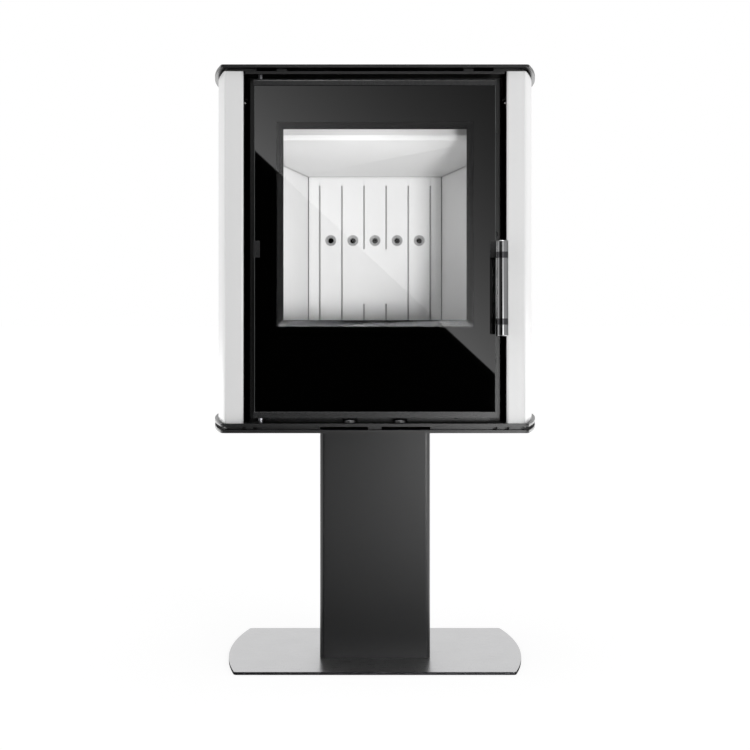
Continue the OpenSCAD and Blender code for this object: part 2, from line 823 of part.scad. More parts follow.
// Frame round the window, bevelled from the glass back to the opening
module window_bezel() color("#8a8a8a") difference() {
    front = gasket_back;
    bevel_back = front + 8;
    back = tray_back - tray_sheet;
    mid_z = (window_top + window_bottom) / 2;
    half_h = (window_top - window_bottom) / 2;
    outer = bevel_w + 12.5;
    reach = 2 * half_h;
    span([-window_half_w - outer, front, window_bottom - outer],
        [window_half_w + outer, back, window_top + outer]);
    intersection() {
        translate([0, 0, mid_z - reach]) linear_extrude(2 * reach)
            bevel_section(window_half_w, front, bevel_back, back);
        translate([0, 0, mid_z]) rotate([0, 90, 0]) translate([0, 0, -reach]) linear_extrude(2 * reach)
            bevel_section(half_h, front, bevel_back, back);
    }
}

// Section of the window opening: a straight throat that flares to the front
module bevel_section(half, front, bevel_back, back) {
    slope = bevel_w / (bevel_back - front);
    polygon([
        [-half, back + eps], [-half, bevel_back], [-half - bevel_w - slope * eps, front - eps],
        [half + bevel_w + slope * eps, front - eps], [half, bevel_back], [half, back + eps],
    ]);
}

module door_glass() color("#101010") span(
    [-glass_half_w, glass_front, door_bottom + rail_t],
    [glass_half_w, glass_back, door_top - rail_t]);

module glass_gasket() color("#222222") {
    outer = 20;
    inner = 11.5;
    upright_ring(glass_back, gasket_back,
        [window_half_w + outer, window_bottom - outer, window_top + outer],
        [window_half_w + inner, window_bottom - inner, window_top + inner]);
}

// Section of the lower rail: a channel for the glass and a shelf for the frame
module rail_section(chamfer) polygon([
    [glass_front - rail_t + chamfer, 0], [glass_back + rail_lip, 0], [glass_back + rail_lip, 8],
    [tray_back - 2, 8], [tray_back - 2, 11], [glass_back, 11], [glass_back, rail_t],
    [glass_front, rail_t], [glass_front, rail_h], [glass_front - rail_t, rail_h],
    [glass_front - rail_t, chamfer],
]);

// The rail's shelf ends at the frame, its channel at the glass
module rail_body(chamfer) difference() {
    half_w = glass_half_w + 1.3;
    past = half_w + eps - frame_half_w;
    along_x(-half_w, half_w) rail_section(chamfer);
    for (x = [-half_w - eps, frame_half_w])
        translate([x, glass_back + rail_lip, -eps]) cube([past, 30, 20]);
}

module bottom_rail() color("#505050") difference() {
    edge = 0.4;
    translate([0, 0, door_bottom]) rail_body(edge);
    rail_screw_places() cylinder(d = rail_screw_d + 2 * play, h = rail_t + eps);
}

module top_rail() color("#505050") translate([0, 0, door_top]) mirror([0, 0, 1]) rail_body(rail_t - 0.2);

// Places of the screws under the lower rail
module rail_screw_places() {
    half_w = 134;
    for (x = [-half_w, 0, half_w]) translate([x, glass_front + glass_t / 2, door_bottom]) children();
}

module rail_screws() color("silver") rail_screw_places() {
    head_h = 1.5;
    translate([0, 0, -head_h]) cylinder(d = 2 * rail_screw_d, h = head_h);
    cylinder(d = rail_screw_d, h = rail_t - 0.2);
}

// Clips that hold the long edges of the glass to the frame
module glass_clips() color("#1c1c1c") {
    z = 699;
    h = 27.5;
    t = 1.5;
    front_x = 190;
    edge_t = t + 0.1;
    edge_x = glass_half_w + edge_t;
    for (side = [0, 1]) translate([0, 0, z]) linear_extrude(h) mirror([side, 0]) {
        translate([front_x, glass_front - t]) square([glass_half_w + t - front_x, t]);
        translate([glass_half_w, glass_front - t]) square([edge_t, glass_t + 2 * t]);
        translate([frame_half_w, glass_back]) square([edge_x - frame_half_w, t]);
        translate([frame_half_w, glass_back]) square([t, 6]);
    }
}

// Ceramic rope laid round the back of the door
module rope_seal() color("#8c8678") {
    bend = 12;
    y = tray_back + rope_d / 2;
    for (x = [-rope_half_w, rope_half_w]) translate([x, y, rope_z[0] + bend])
        cylinder(d = rope_d, h = rope_z[1] - rope_z[0] - 2 * bend);
    for (z = rope_z) translate([bend - rope_half_w, y, z]) rotate([0, 90, 0])
        cylinder(d = rope_d, h = 2 * (rope_half_w - bend));
    for (x = [-1, 1], end = [0, 1])
        translate([x * (rope_half_w - bend), y, rope_z[end] + (end == 1 ? -bend : bend)])
            mirror([x < 0 ? 1 : 0, 0, 0]) mirror([0, 0, 1 - end]) rotate([90, 0, 0])
                rotate_extrude(angle = 90) translate([bend, 0]) circle(d = rope_d);
}

// Ears on the frame that turn on the hinge pins
module hinge_plates() color("#3a3a3a") {
    arm_l = 40;
    for (z = [door_bottom + hinge_grip - hinge_plate_t, door_top - hinge_grip])
        translate([0, 0, z]) difference() {
            union() {
                drill(hinge_x, hinge_y, 0, hinge_plate_t, boss_d);
                span([hinge_x, glass_back + 1.6, 0],
                    [hinge_x + arm_l, hinge_y + boss_d / 2, hinge_plate_t]);
            }
            drill(hinge_x, hinge_y, -eps, hinge_plate_t + eps, hinge_pin_d + 2 * play);
        }
}

// Lugs on the frame that carry the latch shaft
module shaft_lugs() color("#3a3a3a") {
    lug_d = 16;
    lug_h = 8;
    for (z = [456, 640, 800, 964]) translate([0, 0, z]) difference() {
        union() {
            drill(latch_x, latch_y, 0, lug_h, lug_d);
            span([frame_half_w, latch_y - lug_d / 2, 0], [latch_x, tray_back, lug_h]);
        }
        drill(latch_x, latch_y, -eps, lug_h + eps, latch_shaft_d + 2 * play);
    }
}

// ---- Handle and latch ----

module latch_shaft() color("silver") drill(latch_x, latch_y, 452, 976, latch_shaft_d);

// Hooked cams that pull the door shut
module latch_hooks() color("silver") {
    back = -159;
    neck = [latch_x - 5, latch_x + 1];
    tip = [latch_x + 8, -164.6];
    for (z = hook_z) translate([0, 0, z]) difference() {
        union() {
            drill(latch_x, latch_y, 0, hook_h, boss_d);
            span([neck[0], latch_y, 0], [neck[1], back, hook_h]);
            span([neck[0], tip[1], 0], [tip[0], back, hook_h]);
        }
        drill(latch_x, latch_y, -eps, hook_h + eps, latch_shaft_d + 2 * play);
    }
}

// Cranked arms from the shaft round the edge of the glass to the handle
module handle_arms() color("#3a3a3a") {
    root_d = 8;
    for (z = collar_z) translate([0, 0, z - arm_h / 2]) difference() {
        union() {
            drill(latch_x, latch_y, 0, arm_h, boss_d);
            span([latch_x, latch_y - root_d / 2, 0], [handle_x + arm_w / 2, latch_y + root_d / 2, arm_h]);
            span([handle_x - arm_w / 2, handle_y, 0], [handle_x + arm_w / 2, latch_y + root_d / 2, arm_h]);
        }
        drill(latch_x, latch_y, -eps, arm_h + eps, latch_shaft_d + 2 * play);
        drill(handle_x, handle_y, -eps, arm_h + eps, handle_d + 2 * play);
    }
}

// Necked down at both arms for the collars
module handle_tube() color("lightgray") difference() {
    drill(handle_x, handle_y, handle_bottom + cap_h, handle_top - cap_h, handle_d);
    drill(handle_x, handle_y, handle_bottom, handle_top, handle_d - 2 * tube_wall);
    for (z = collar_z) {
        low = z - collar_h / 2 - play;
        high = z + collar_h / 2 + play;
        difference() {
            drill(handle_x, handle_y, low, high, handle_d + 2 * play);
            drill(handle_x, handle_y, low - eps, high + eps, neck_d);
        }
    }
}

// Split rings that fill the necks flush with the tube, each with its slit inside the arm
module handle_collars() color("gray") {
    for (z = collar_z) translate([0, 0, z - collar_h / 2]) difference() {
        drill(handle_x, handle_y, 0, collar_h, handle_d);
        drill(handle_x, handle_y, -eps, collar_h + eps, neck_d + 2 * play);
        span([handle_x - collar_slit / 2, handle_y, -eps],
            [handle_x + collar_slit / 2, handle_y + handle_d, collar_h + eps]);
    }
}

// Cap with a rounded rim that closes one end of the tube
module end_cap() rotate_extrude() {
    rim = 1.5;
    square([handle_d / 2 - rim, cap_h]);
    translate([0, rim]) square([handle_d / 2, cap_h - rim]);
    intersection() {
        translate([handle_d / 2 - rim, rim]) circle(r = rim, $fn = 48);
        square([handle_d / 2, cap_h]);
    }
}

module handle_end_caps() color("lightgray") {
    translate([handle_x, handle_y, handle_bottom]) end_cap();
    translate([handle_x, handle_y, handle_top]) mirror([0, 0, 1]) end_cap();
}

// ---- Air controls ----

module control_knob(x) color("#2a2a2a") difference() {
    translate([x, knob_y, knob_z]) rotate_extrude() polygon([
        [0, 0], [knob_d / 2 - knob_rim, 0], [knob_d / 2, knob_rim], [knob_d / 2, knob_h - knob_rim],
        [knob_d / 2 - knob_rim, knob_h], [0, knob_h],
    ]);
    drill_back(x, rod_z, knob_y + rod_grip, knob_y + knob_d, rod_d + 2 * play);
}

module control_rod(x) color("silver") drill_back(x, rod_z, knob_y + rod_grip, shutter_front - eps, rod_d);

// Plate that slides over its air port, with a hole that meets the port when pulled
module control_shutter(x) color("silver") difference() {
    half_w = 30;
    z = deck_z + shutter_play;
    lug_top = 5.6;
    union() {
        span([x - half_w, shutter_front, z], [x + half_w, shutter_back, z + shutter_t]);
        span([x - shutter_lug, shutter_front - shutter_lug, z],
            [x + shutter_lug, shutter_front + eps, z + lug_top]);
    }
    drill(x, port_y, z - eps, z + shutter_t + eps, port_d);
    drill_back(x, rod_z, shutter_front - shutter_lug - eps, shutter_front - eps, rod_d + 2 * play);
}

module primary_knob() control_knob(control_x);

module primary_rod() control_rod(control_x);

module primary_shutter() control_shutter(control_x);

module secondary_knob() control_knob(-control_x);

module secondary_rod() control_rod(-control_x);

module secondary_shutter() control_shutter(-control_x);

base_plate();
foot_bolts();
column_frames();
column_shell();
column_rear_cover();
air_inlet_spigot();
head_bolts();
casing_screws();
bottom_plate();
bottom_spacer();
support_plate();
air_box();
rear_air_duct();
firebox_sides();
firebox_rear_wall();
firebox_floor_and_roof();
firebox_front_plate();
sealing_frame();
front_sill();
hearth_lining();
side_linings();
corner_linings();
rear_lining();
lower_baffle();
upper_baffle();
grate();
ash_pan();
flue_collar();
inner_top_plate();
top_spacers();
top_edge_strips();
top_plate();
left_side_panel();
right_side_panel();
rear_panel();
hinge_pins();
latch_keepers();
door_frame();
window_bezel();
door_glass();
glass_gasket();
top_rail();
bottom_rail();
rail_screws();
glass_clips();
rope_seal();
hinge_plates();
shaft_lugs();
latch_shaft();
latch_hooks();
handle_arms();
handle_tube();
handle_collars();
handle_end_caps();
primary_knob();
primary_rod();
primary_shutter();
secondary_knob();
secondary_rod();
secondary_shutter();
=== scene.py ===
"""Looks of a wood burning stove: finishes, small fasteners and a studio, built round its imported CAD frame.

Run as a script; the operators and the sidebar panel are there for a person who opens it in Blender.
All lengths are metres unless a name says otherwise.
"""

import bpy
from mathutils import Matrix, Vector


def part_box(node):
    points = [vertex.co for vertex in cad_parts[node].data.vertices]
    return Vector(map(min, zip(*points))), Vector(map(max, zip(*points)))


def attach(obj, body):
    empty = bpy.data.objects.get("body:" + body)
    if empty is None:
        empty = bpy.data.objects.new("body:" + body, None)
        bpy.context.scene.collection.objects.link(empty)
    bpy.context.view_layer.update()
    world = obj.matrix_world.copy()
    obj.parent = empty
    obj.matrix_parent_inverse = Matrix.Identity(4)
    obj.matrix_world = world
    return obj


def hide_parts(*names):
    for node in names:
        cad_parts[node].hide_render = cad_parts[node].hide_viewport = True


bl_info = {
    "name": "Wood Burning Stove Looks",
    "version": (1, 0, 0),
    "blender": (4, 5, 0),
    "location": "View3D > Sidebar > Stove",
    "description": "Finishes, glass, seals and fasteners of a wood burning stove, and a plain studio",
    "category": "Object",
}

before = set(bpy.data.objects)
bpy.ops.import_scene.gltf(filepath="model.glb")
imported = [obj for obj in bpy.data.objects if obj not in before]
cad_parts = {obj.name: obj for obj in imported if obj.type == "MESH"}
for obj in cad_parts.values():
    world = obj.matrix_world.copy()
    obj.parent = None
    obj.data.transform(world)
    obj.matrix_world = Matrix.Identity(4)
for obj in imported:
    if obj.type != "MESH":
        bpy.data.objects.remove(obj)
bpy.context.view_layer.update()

import math

import bmesh
import bpy
from bpy.props import FloatProperty, FloatVectorProperty, PointerProperty, StringProperty
from mathutils import Matrix, Vector

MM = 0.001
MICRON = 0.001 * MM
SHARP = math.radians(40)
RIGHT, BACK, UP = (1, 0, 0), (0, 1, 0), (0, 0, 1)

# Where nearly all of a noise pattern's values lie
NOISE = {"From Min": 0.3, "From Max": 0.7}


def lowest(node):
    """Lowest corner of a CAD node, in metres."""
    return Vector(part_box(node)[0])


def highest(node):
    """Highest corner of a CAD node, in metres."""
    return Vector(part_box(node)[1])


# ---- Settings ----


class StoveSizes(bpy.types.PropertyGroup):
    """Sizes that the looks add to the frame."""

    clear_half: FloatProperty(
        name="Half of the clear glass", description="Half the width of the unprinted window",
        default=162.3 * MM, min=0.0, unit="LENGTH")
    clear_inset: FloatProperty(
        name="Clear inset", description="How far the print covers the bezel at top and bottom",
        default=12.7 * MM, min=0.0, unit="LENGTH")
    glass_edge: FloatProperty(
        name="Glass edge", description="Ground edge of the door glass",
        default=0.6 * MM, min=0.0, unit="LENGTH")
    braid_pitch: FloatProperty(
        name="Braid pitch", description="Length of one plait of the rope seal",
        default=9.0 * MM, min=0.001, unit="LENGTH")


class StoveColours(bpy.types.PropertyGroup):
    """Colours of the finishes, as sRGB hex."""

    stove_paint: StringProperty(
        name="Stove paint", description="Black heat-resistant paint", default="#171718")
    rail_paint: StringProperty(
        name="Rail paint", description="Black paint of rails and inner steel", default="#1a1a1b")
    # The same black serves as painted shade on the sheet behind the door
    bezel_paint: StringProperty(
        name="Bezel paint", description="Black paint of the window bezel", default="#070707")
    powder_coat: StringProperty(name="Powder coat", description="White side panels", default="#ececec")
    board: StringProperty(name="Lining board", description="Pressed vermiculite", default="#cdcdcd")
    stainless: StringProperty(name="Stainless", description="Brushed base plate", default="#c6c6c7")
    # Painted shade: darker colour on the base plate's edges and underside
    cut_edge_shade: StringProperty(
        name="Cut edge", description="Laser-cut edge of the base plate", default="#606063")
    polished: StringProperty(name="Polished", description="Handle tube", default="#9b9b9c")
    black_chrome: StringProperty(name="Black chrome", description="Rings of the handle", default="#505052")
    zinc: StringProperty(name="Zinc plate", description="Screws, hooks and rods", default="#b9bbbd")
    iron: StringProperty(name="Cast iron", description="Grate", default="#2a2a2b")
    rope: StringProperty(name="Rope", description="Glass-fibre rope seal", default="#8d8a82")
    pin_steel: StringProperty(name="Pin steel", description="Turned hinge pins", default="#77777a")
    ground_glass: StringProperty(name="Ground glass", description="Edge of the pane", default="#595c5b")
    tape: StringProperty(name="Tape", description="Woven tape under glass and plate", default="#1c1c1c")
    print_black: StringProperty(
        name="Print", description="Black ceramic print on the glass", default="#020202")


class StoveStudio(bpy.types.PropertyGroup):
    """Light levels and camera of the studio."""

    front_sky: FloatProperty(name="Sky in front", description="Light from the front", default=0.42, min=0.0)
    side_sky: FloatProperty(
        name="Sky at the sides", description="Extra light from both sides", default=1.2, min=0.0)
    top_gloss: FloatProperty(
        name="Top light", description="Overhead light seen in gloss", default=23.0, min=0.0)
    key_power: FloatProperty(name="Key", description="Power of the key lamp in watts", default=12.0, min=0.0)
    hearth_power: FloatProperty(
        name="Hearth glow", description="Power of the light off the hearth in watts", default=0.4, min=0.0)
    fire_power: FloatProperty(
        name="Fire lamp", description="Power of the firebox lamp in watts", default=54.0, min=0.0)
    lens: FloatProperty(
        name="Lens", description="Focal length in millimetres on a 36 mm sensor", default=67.2)
    eye: FloatVectorProperty(
        name="Eye", description="Place of the camera", default=(0.0, -2.506, 0.629), subtype="XYZ")
    shift: FloatProperty(name="Shift", description="Vertical shift of the lens", default=-0.1)


# ---- Colour, nodes and mesh helpers ----


def linear(hex_colour):
    """An sRGB hex colour as linear RGBA."""
    def channel(text):
        value = int(text, 16) / 255
        return value / 12.92 if value <= 0.04045 else ((value + 0.055) / 1.055) ** 2.4
    text = hex_colour.lstrip("#")
    return tuple(channel(text[i:i + 2]) for i in (0, 2, 4)) + (1.0,)


def add_node(tree, kind, links=None, inputs=None, **settings):
    """Adds a node, with its settings, its input values and its incoming links."""
    node = tree.nodes.new(kind)
    for key, value in settings.items():
        setattr(node, key, value)
    for key, value in (inputs or {}).items():
        node.inputs[key].default_value = value
    for key, socket in (links or {}).items():
        tree.links.new(socket, node.inputs[key])
    return node


def new_material(name):
    """An empty node material: its tree and its output."""
    material = bpy.data.materials.new(name)
    material.use_nodes = True
    tree = material.node_tree
    tree.nodes.clear()
    return material, tree, add_node(tree, "ShaderNodeOutputMaterial")


def surface(name, colour, roughness, metallic=0.0, ior=None, vary=0.0, bump=0.0, bump_mm=1.0,
            stretch=(1, 1, 1), rough_vary=0.0, **sockets):
    """A Principled finish with fine variation.

    colour is hex; vary is the share by which the colour wanders over about 60 mm; bump is the height in
    metres of a grain bump_mm wide, stretched by stretch; rough_vary adds uneven polish.
    """
    wander = 60 * MM
    material, tree, output = new_material(name)
    shader = add_node(tree, "ShaderNodeBsdfPrincipled", inputs={"Metallic": metallic})
    if ior:
        shader.inputs["IOR"].default_value = ior
    for key, value in sockets.items():
        shader.inputs[key.replace("_", " ").title()].default_value = value
    place = add_node(tree, "ShaderNodeTexCoord").outputs["Object"]
    grain_place = add_node(tree, "ShaderNodeMapping", links={"Vector": place}, inputs={"Scale": stretch})
    grain = add_node(tree, "ShaderNodeTexNoise", links={"Vector": grain_place.outputs[0]},
                     inputs={"Scale": 1 / (bump_mm * MM), "Detail": 3.0, "Roughness": 0.6})
    cloud = add_node(tree, "ShaderNodeTexNoise", links={"Vector": place},
                     inputs={"Scale": 1 / wander, "Detail": 2.0})
    shade = add_node(tree, "ShaderNodeMapRange", links={"Value": cloud.outputs["Fac"]},
                     inputs={**NOISE, "To Min": 1 - vary, "To Max": 1 + vary})
    tint = add_node(tree, "ShaderNodeMix", data_type="RGBA", blend_type="MULTIPLY",
                    inputs={"Factor": 1.0, "A": linear(colour)}, links={"B": shade.outputs[0]})
    tree.links.new(tint.outputs["Result"], shader.inputs["Base Color"])
    polish = add_node(tree, "ShaderNodeMapRange", links={"Value": grain.outputs["Fac"]},
                      inputs={**NOISE, "To Min": max(roughness - rough_vary, 0.0),
                              "To Max": roughness + rough_vary})
    tree.links.new(polish.outputs[0], shader.inputs["Roughness"])
    if bump:
        relief = add_node(tree, "ShaderNodeBump", links={"Height": grain.outputs["Fac"]},
                          inputs={"Strength": 1.0, "Distance": bump})
        tree.links.new(relief.outputs[0], shader.inputs["Normal"])
    tree.links.new(shader.outputs[0], output.inputs["Surface"])
    return material


def base_colour(material):
    """A finish's tree, its Principled shader and what feeds its base colour."""
    tree = material.node_tree
    shader = next(node for node in tree.nodes if node.type == "BSDF_PRINCIPLED")
    return tree, shader, shader.inputs["Base Color"].links[0].from_socket


def colours():
    """The scene's finish colours."""
    return bpy.context.scene.stove_colours


def sizes():
    """The scene's added sizes."""
    return bpy.context.scene.stove_sizes


def put_on(material, *nodes):
    """Gives CAD nodes a material."""
    for name in nodes:
        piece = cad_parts[name]
        piece.data.materials.clear()
        piece.data.materials.append(material)


def break_edges(width, *nodes):
    """Rounds the sharp edges of CAD nodes by width, without changing their meshes."""
    for name in nodes:
        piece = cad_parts[name]
        weld = piece.modifiers.new("weld", "WELD")
        weld.merge_threshold = MICRON
        bevel = piece.modifiers.new("edge", "BEVEL")
        bevel.width = width
        bevel.segments = 2
        bevel.limit_method = "ANGLE"
        bevel.angle_limit = SHARP
        bevel.use_clamp_overlap = True
        bevel.harden_normals = True


def mesh_piece(name, build, material, body, replaces=()):
    """A new piece from a function that fills a bmesh."""
    mesh = bpy.data.meshes.new(name)
    form = bmesh.new()
    build(form)
    bmesh.ops.recalc_face_normals(form, faces=form.faces)
    form.to_mesh(mesh)
    form.free()
    piece = bpy.data.objects.new(name, mesh)
    bpy.context.scene.collection.objects.link(piece)
    for entry in material if isinstance(material, (list, tuple)) else [material]:
        mesh.materials.append(entry)
    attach(piece, body)
    if replaces:
        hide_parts(*replaces)
    return piece


def add_box(form, low, high):
    """Adds a closed box to a bmesh, from its lowest to its highest corner."""
    for vert in bmesh.ops.create_cube(form, size=1.0)["verts"]:
        vert.co = Vector(low[i] + (vert.co[i] + 0.5) * (high[i] - low[i]) for i in range(3))


def revolve(form, profile, turn, steps):
    """Adds a surface of revolution and returns its rings of vertices.

    profile is (radius, height) points, of which one with no radius is a single vertex on the axis; turn is
    the matrix that places it; steps is the number of vertices round a ring.
    """
    rings = []
    for radius, height in profile:
        angles = [2 * math.pi * i / steps for i in range(steps if radius else 1)]
        rings.append([form.verts.new(turn @ Vector((radius * math.cos(a), radius * math.sin(a), height)))
                      for a in angles])
    for lower, upper in zip(rings, rings[1:]):
        for i in range(steps):
            j = (i + 1) % steps
            corners = (lower[i % len(lower)], lower[j % len(lower)],
                       upper[j % len(upper)], upper[i % len(upper)])
            form.faces.new(list(dict.fromkeys(corners))).smooth = True
    return rings


def facing(axis, at):
    """Matrix that turns +Z to axis and moves the origin to at."""
    return Matrix.Translation(Vector(at)) @ Vector(axis).to_track_quat("Z", "Y").to_matrix().to_4x4()


def socket_screw(form, at, axis, head_r, head_h, shank_r, shank_l, socket_r):
    """Adds a button-head screw with a hexagon socket: at is the seat of its head, axis points out of it."""
    turn = facing(axis, at)
    sides = 36
    shank = [(0, -shank_l), (shank_r, -shank_l), (shank_r, 0)]
    dome = [(head_r, 0), (head_r, head_h * 0.35), (head_r * 0.93, head_h * 0.65),
            (head_r * 0.76, head_h * 0.9), (socket_r * 1.25, head_h)]
    rim = revolve(form, shank + dome, turn, sides)[-1]

    def hexagon(height):
        """As many vertices as the rim has, on a hexagon."""
        points = []
        for i in range(sides):
            a = 2 * math.pi * i / sides
            within = (a + math.pi / 6) % (math.pi / 3) - math.pi / 6
            r = socket_r * math.cos(math.pi / 6) / math.cos(within)
            points.append(form.verts.new(turn @ Vector((r * math.cos(a), r * math.sin(a), height))))
        return points

    top = hexagon(head_h)
    floor = hexagon(head_h * 0.3)
    for lower, upper in ((rim, top), (top, floor)):
        for i in range(sides):
            j = (i + 1) % sides
            form.faces.new([lower[i], lower[j], upper[j], upper[i]])
    form.faces.new(floor)


# ---- Finishes ----


def stove_paint():
    """Heat-resistant stove paint, sprayed: fine satin grain that softens every reflection."""
    return surface("sprayed_stove_paint_black", colours().stove_paint, 0.3, ior=1.5, vary=0.05,
                   bump=0.012 * MM, bump_mm=0.8, rough_vary=0.03)


def bezel_paint():
    """Thin matt black paint on the bent window bezel, baked: deeper and duller than the stove's."""
    return surface("baked_matt_paint_black", colours().bezel_paint, 0.26, ior=1.3, vary=0.03,
                   bump=0.006 * MM, bump_mm=0.8, rough_vary=0.02)


def front_sheet_shaded_paint():
    """Stove paint on the sheet behind the door, in the bezel's deeper black under the same satin: painted
    shade for the recess between the door and the side panels.
    """
    return surface("stove_paint_black_painted_shade", colours().bezel_paint, 0.28, ior=1.5, vary=0.03,
                   bump=0.01 * MM, bump_mm=0.8, rough_vary=0.03)


def rail_paint():
    """The same paint in dark grey on thin rolled steel, a little glossier from handling."""
    return surface("sprayed_stove_paint_grey", colours().rail_paint, 0.28, ior=1.5, vary=0.05,
                   bump=0.01 * MM, bump_mm=0.8, rough_vary=0.03)


def powder_coat():
    """Polyester powder coat, baked: white outside with the faint orange peel of about 2 mm that it dries
    with; faces that turn inwards get the stove paint's black, painted shade for the unlit inside of the
    panels."""
    material = surface("baked_powder_coat_white", colours().powder_coat, 0.3, ior=1.5, vary=0.004,
                       bump=0.015 * MM, bump_mm=2.0, rough_vary=0.02)
    # Depth counts double, so that most of the round of a panel's folds counts as outside
    outward_share = (1, 2, 0)
    tree, shader, white = base_colour(material)
    place = add_node(tree, "ShaderNodeTexCoord")
    outward = add_node(tree, "ShaderNodeVectorMath", operation="MULTIPLY",
                       links={0: place.outputs["Object"]}, inputs={1: outward_share})
    facing_out = add_node(tree, "ShaderNodeVectorMath", operation="DOT_PRODUCT",
                          links={0: place.outputs["Normal"], 1: outward.outputs[0]})
    outside = add_node(tree, "ShaderNodeMath", operation="GREATER_THAN",
                       links={0: facing_out.outputs["Value"]}, inputs={1: 0.0})
    # Painted shade: inward faces take the black of stove paint instead of white
    both = add_node(tree, "ShaderNodeMix", data_type="RGBA", inputs={"A": linear(colours().stove_paint)},
                    links={"Factor": outside.outputs[0], "B": white})
    tree.links.new(both.outputs["Result"], shader.inputs["Base Color"])
    return material


def vermiculite(drilled=False):
    """Pressed vermiculite board, moulded: matt and off-white with mica flakes of about 1.5 mm, with painted
    shade that an occlusion node lays in its grooves and corners; the slopes of a drilled board's sinkings get
    painted shade too."""
    material = surface("pressed_vermiculite_board", colours().board, 0.85, ior=1.45, vary=0.015,
                       bump=0.05 * MM, bump_mm=1.5, rough_vary=0.05)
    # Painted shade: the darkest share of the board's colour in grooves and corners, and on the slopes of
    # sinkings
    corner_reach, painted_groove_shade, painted_sink_shade = 7 * MM, 0.35, 0.52
    tree, shader, board = base_colour(material)
    # Painted shade: an occlusion node darkens the board in grooves and corners, down to 0.35 of its colour
    hollow = add_node(tree, "ShaderNodeAmbientOcclusion", inputs={"Distance": corner_reach}, samples=6)
    groove_shade = add_node(tree, "ShaderNodeMapRange", links={"Value": hollow.outputs["AO"]},
                    inputs={"From Min": 0.2, "From Max": 0.9, "To Min": painted_groove_shade, "To Max": 1.0})
    both = add_node(tree, "ShaderNodeMix", data_type="RGBA", blend_type="MULTIPLY", inputs={"Factor": 1.0},
                    links={"A": board, "B": groove_shade.outputs[0]})
    if drilled:
        place = add_node(tree, "ShaderNodeTexCoord")
        parts = add_node(tree, "ShaderNodeSeparateXYZ", links={"Vector": place.outputs["Normal"]})
        # Painted shade: faces that turn away from the front, such as the slopes of the sinkings, are darkened
        # to 0.52 of the board's colour
        flat, sloping = -0.98, -0.85
        sink_shade = add_node(tree, "ShaderNodeMapRange", links={"Value": parts.outputs["Y"]},
                        inputs={"From Min": flat, "From Max": sloping, "To Min": 1.0, "To Max": painted_sink_shade})
        both = add_node(tree, "ShaderNodeMix", data_type="RGBA", blend_type="MULTIPLY",
                        inputs={"Factor": 1.0}, links={"A": both.outputs["Result"], "B": sink_shade.outputs[0]})
    tree.links.new(both.outputs["Result"], shader.inputs["Base Color"])
    return material


def brushed_stainless():
    """Stainless sheet brushed along its width and cut by laser: reflections smear across the strokes, drawn
    0.6 mm apart; every face but the top, the cut edges among them, gets a darker colour as painted shade."""
    material = surface("brushed_stainless_sheet", colours().stainless, 0.3, metallic=1.0, vary=0.02,
                       bump=0.004 * MM, bump_mm=0.6, stretch=(0.02, 1, 1), rough_vary=0.04)
    # Painted shade: faces that don't face up take the darker cut edge colour
    level_enough = 0.8
    tree, shader, brushed = base_colour(material)
    place = add_node(tree, "ShaderNodeTexCoord")
    parts = add_node(tree, "ShaderNodeSeparateXYZ", links={"Vector": place.outputs["Normal"]})
    on_top = add_node(tree, "ShaderNodeMath", operation="GREATER_THAN", links={0: parts.outputs["Z"]},
                      inputs={1: level_enough})
    both = add_node(tree, "ShaderNodeMix", data_type="RGBA", inputs={"A": linear(colours().cut_edge_shade)},
                    links={"Factor": on_top.outputs[0], "B": brushed})
    tree.links.new(both.outputs["Result"], shader.inputs["Base Color"])
    return material


def polished_stainless():
    """Stainless tube, drawn and mirror polished: crisp light and dark stripes down its length."""
    return surface("polished_stainless_tube", colours().polished, 0.06, metallic=1.0, vary=0.01,
                   bump=0.001 * MM, bump_mm=0.5, stretch=(1, 1, 0.02), rough_vary=0.02)


def black_chrome():
    """Black chrome on the split rings: a dark mirror between the lighter lengths of tube."""
    return surface("black_chrome_ring", colours().black_chrome, 0.04, metallic=1.0, vary=0.01,
                   rough_vary=0.01)


def zinc_plate():
    """Bright zinc plating on small steel parts: soft grey shine with uneven bloom."""
    return surface("zinc_plated_steel", colours().zinc, 0.3, metallic=1.0, vary=0.06,
                   bump=0.01 * MM, bump_mm=0.7, rough_vary=0.08)


def turned_steel():
    """Bare steel turned on a lathe and oiled: a darker, tighter shine than zinc."""
    return surface("turned_bare_steel", colours().pin_steel, 0.25, metallic=1.0, vary=0.05,
                   bump=0.004 * MM, bump_mm=0.3, stretch=(0.1, 0.1, 1), rough_vary=0.05)


def cast_iron():
    """Sand-cast grey iron: dark, rough, with the sand's grain left in the skin."""
    return surface("sand_cast_iron", colours().iron, 0.6, metallic=0.6, vary=0.15,
                   bump=0.15 * MM, bump_mm=1.2, rough_vary=0.12)


def glass_fibre(name, colour):
    """Braided glass fibre: matt, slightly lit from the side by its loose filaments."""
    return surface(name, colour, 0.9, vary=0.12, bump=0.3 * MM, bump_mm=1.0, rough_vary=0.05,
                   sheen_weight=0.3)


def clear_glass():
    """Ceramic glass, drawn and unprinted: clear, mirror-smooth, and open to the light that falls in."""
    material, tree, output = new_material("drawn_ceramic_glass_clear")
    shader = add_node(tree, "ShaderNodeBsdfPrincipled", inputs={
        "Base Color": (1, 1, 1, 1), "Roughness": 0.0, "IOR": 1.38, "Transmission Weight": 1.0})
    path = add_node(tree, "ShaderNodeLightPath")
    light = add_node(tree, "ShaderNodeMath", operation="MAXIMUM",
                     links={0: path.outputs["Is Shadow Ray"], 1: path.outputs["Is Diffuse Ray"]})
    passing = add_node(tree, "ShaderNodeBsdfTransparent")
    mixed = add_node(tree, "ShaderNodeMixShader",
                     links={0: light.outputs[0], 1: shader.outputs[0], 2: passing.outputs[0]})
    tree.links.new(mixed.outputs[0], output.inputs["Surface"])
    return material


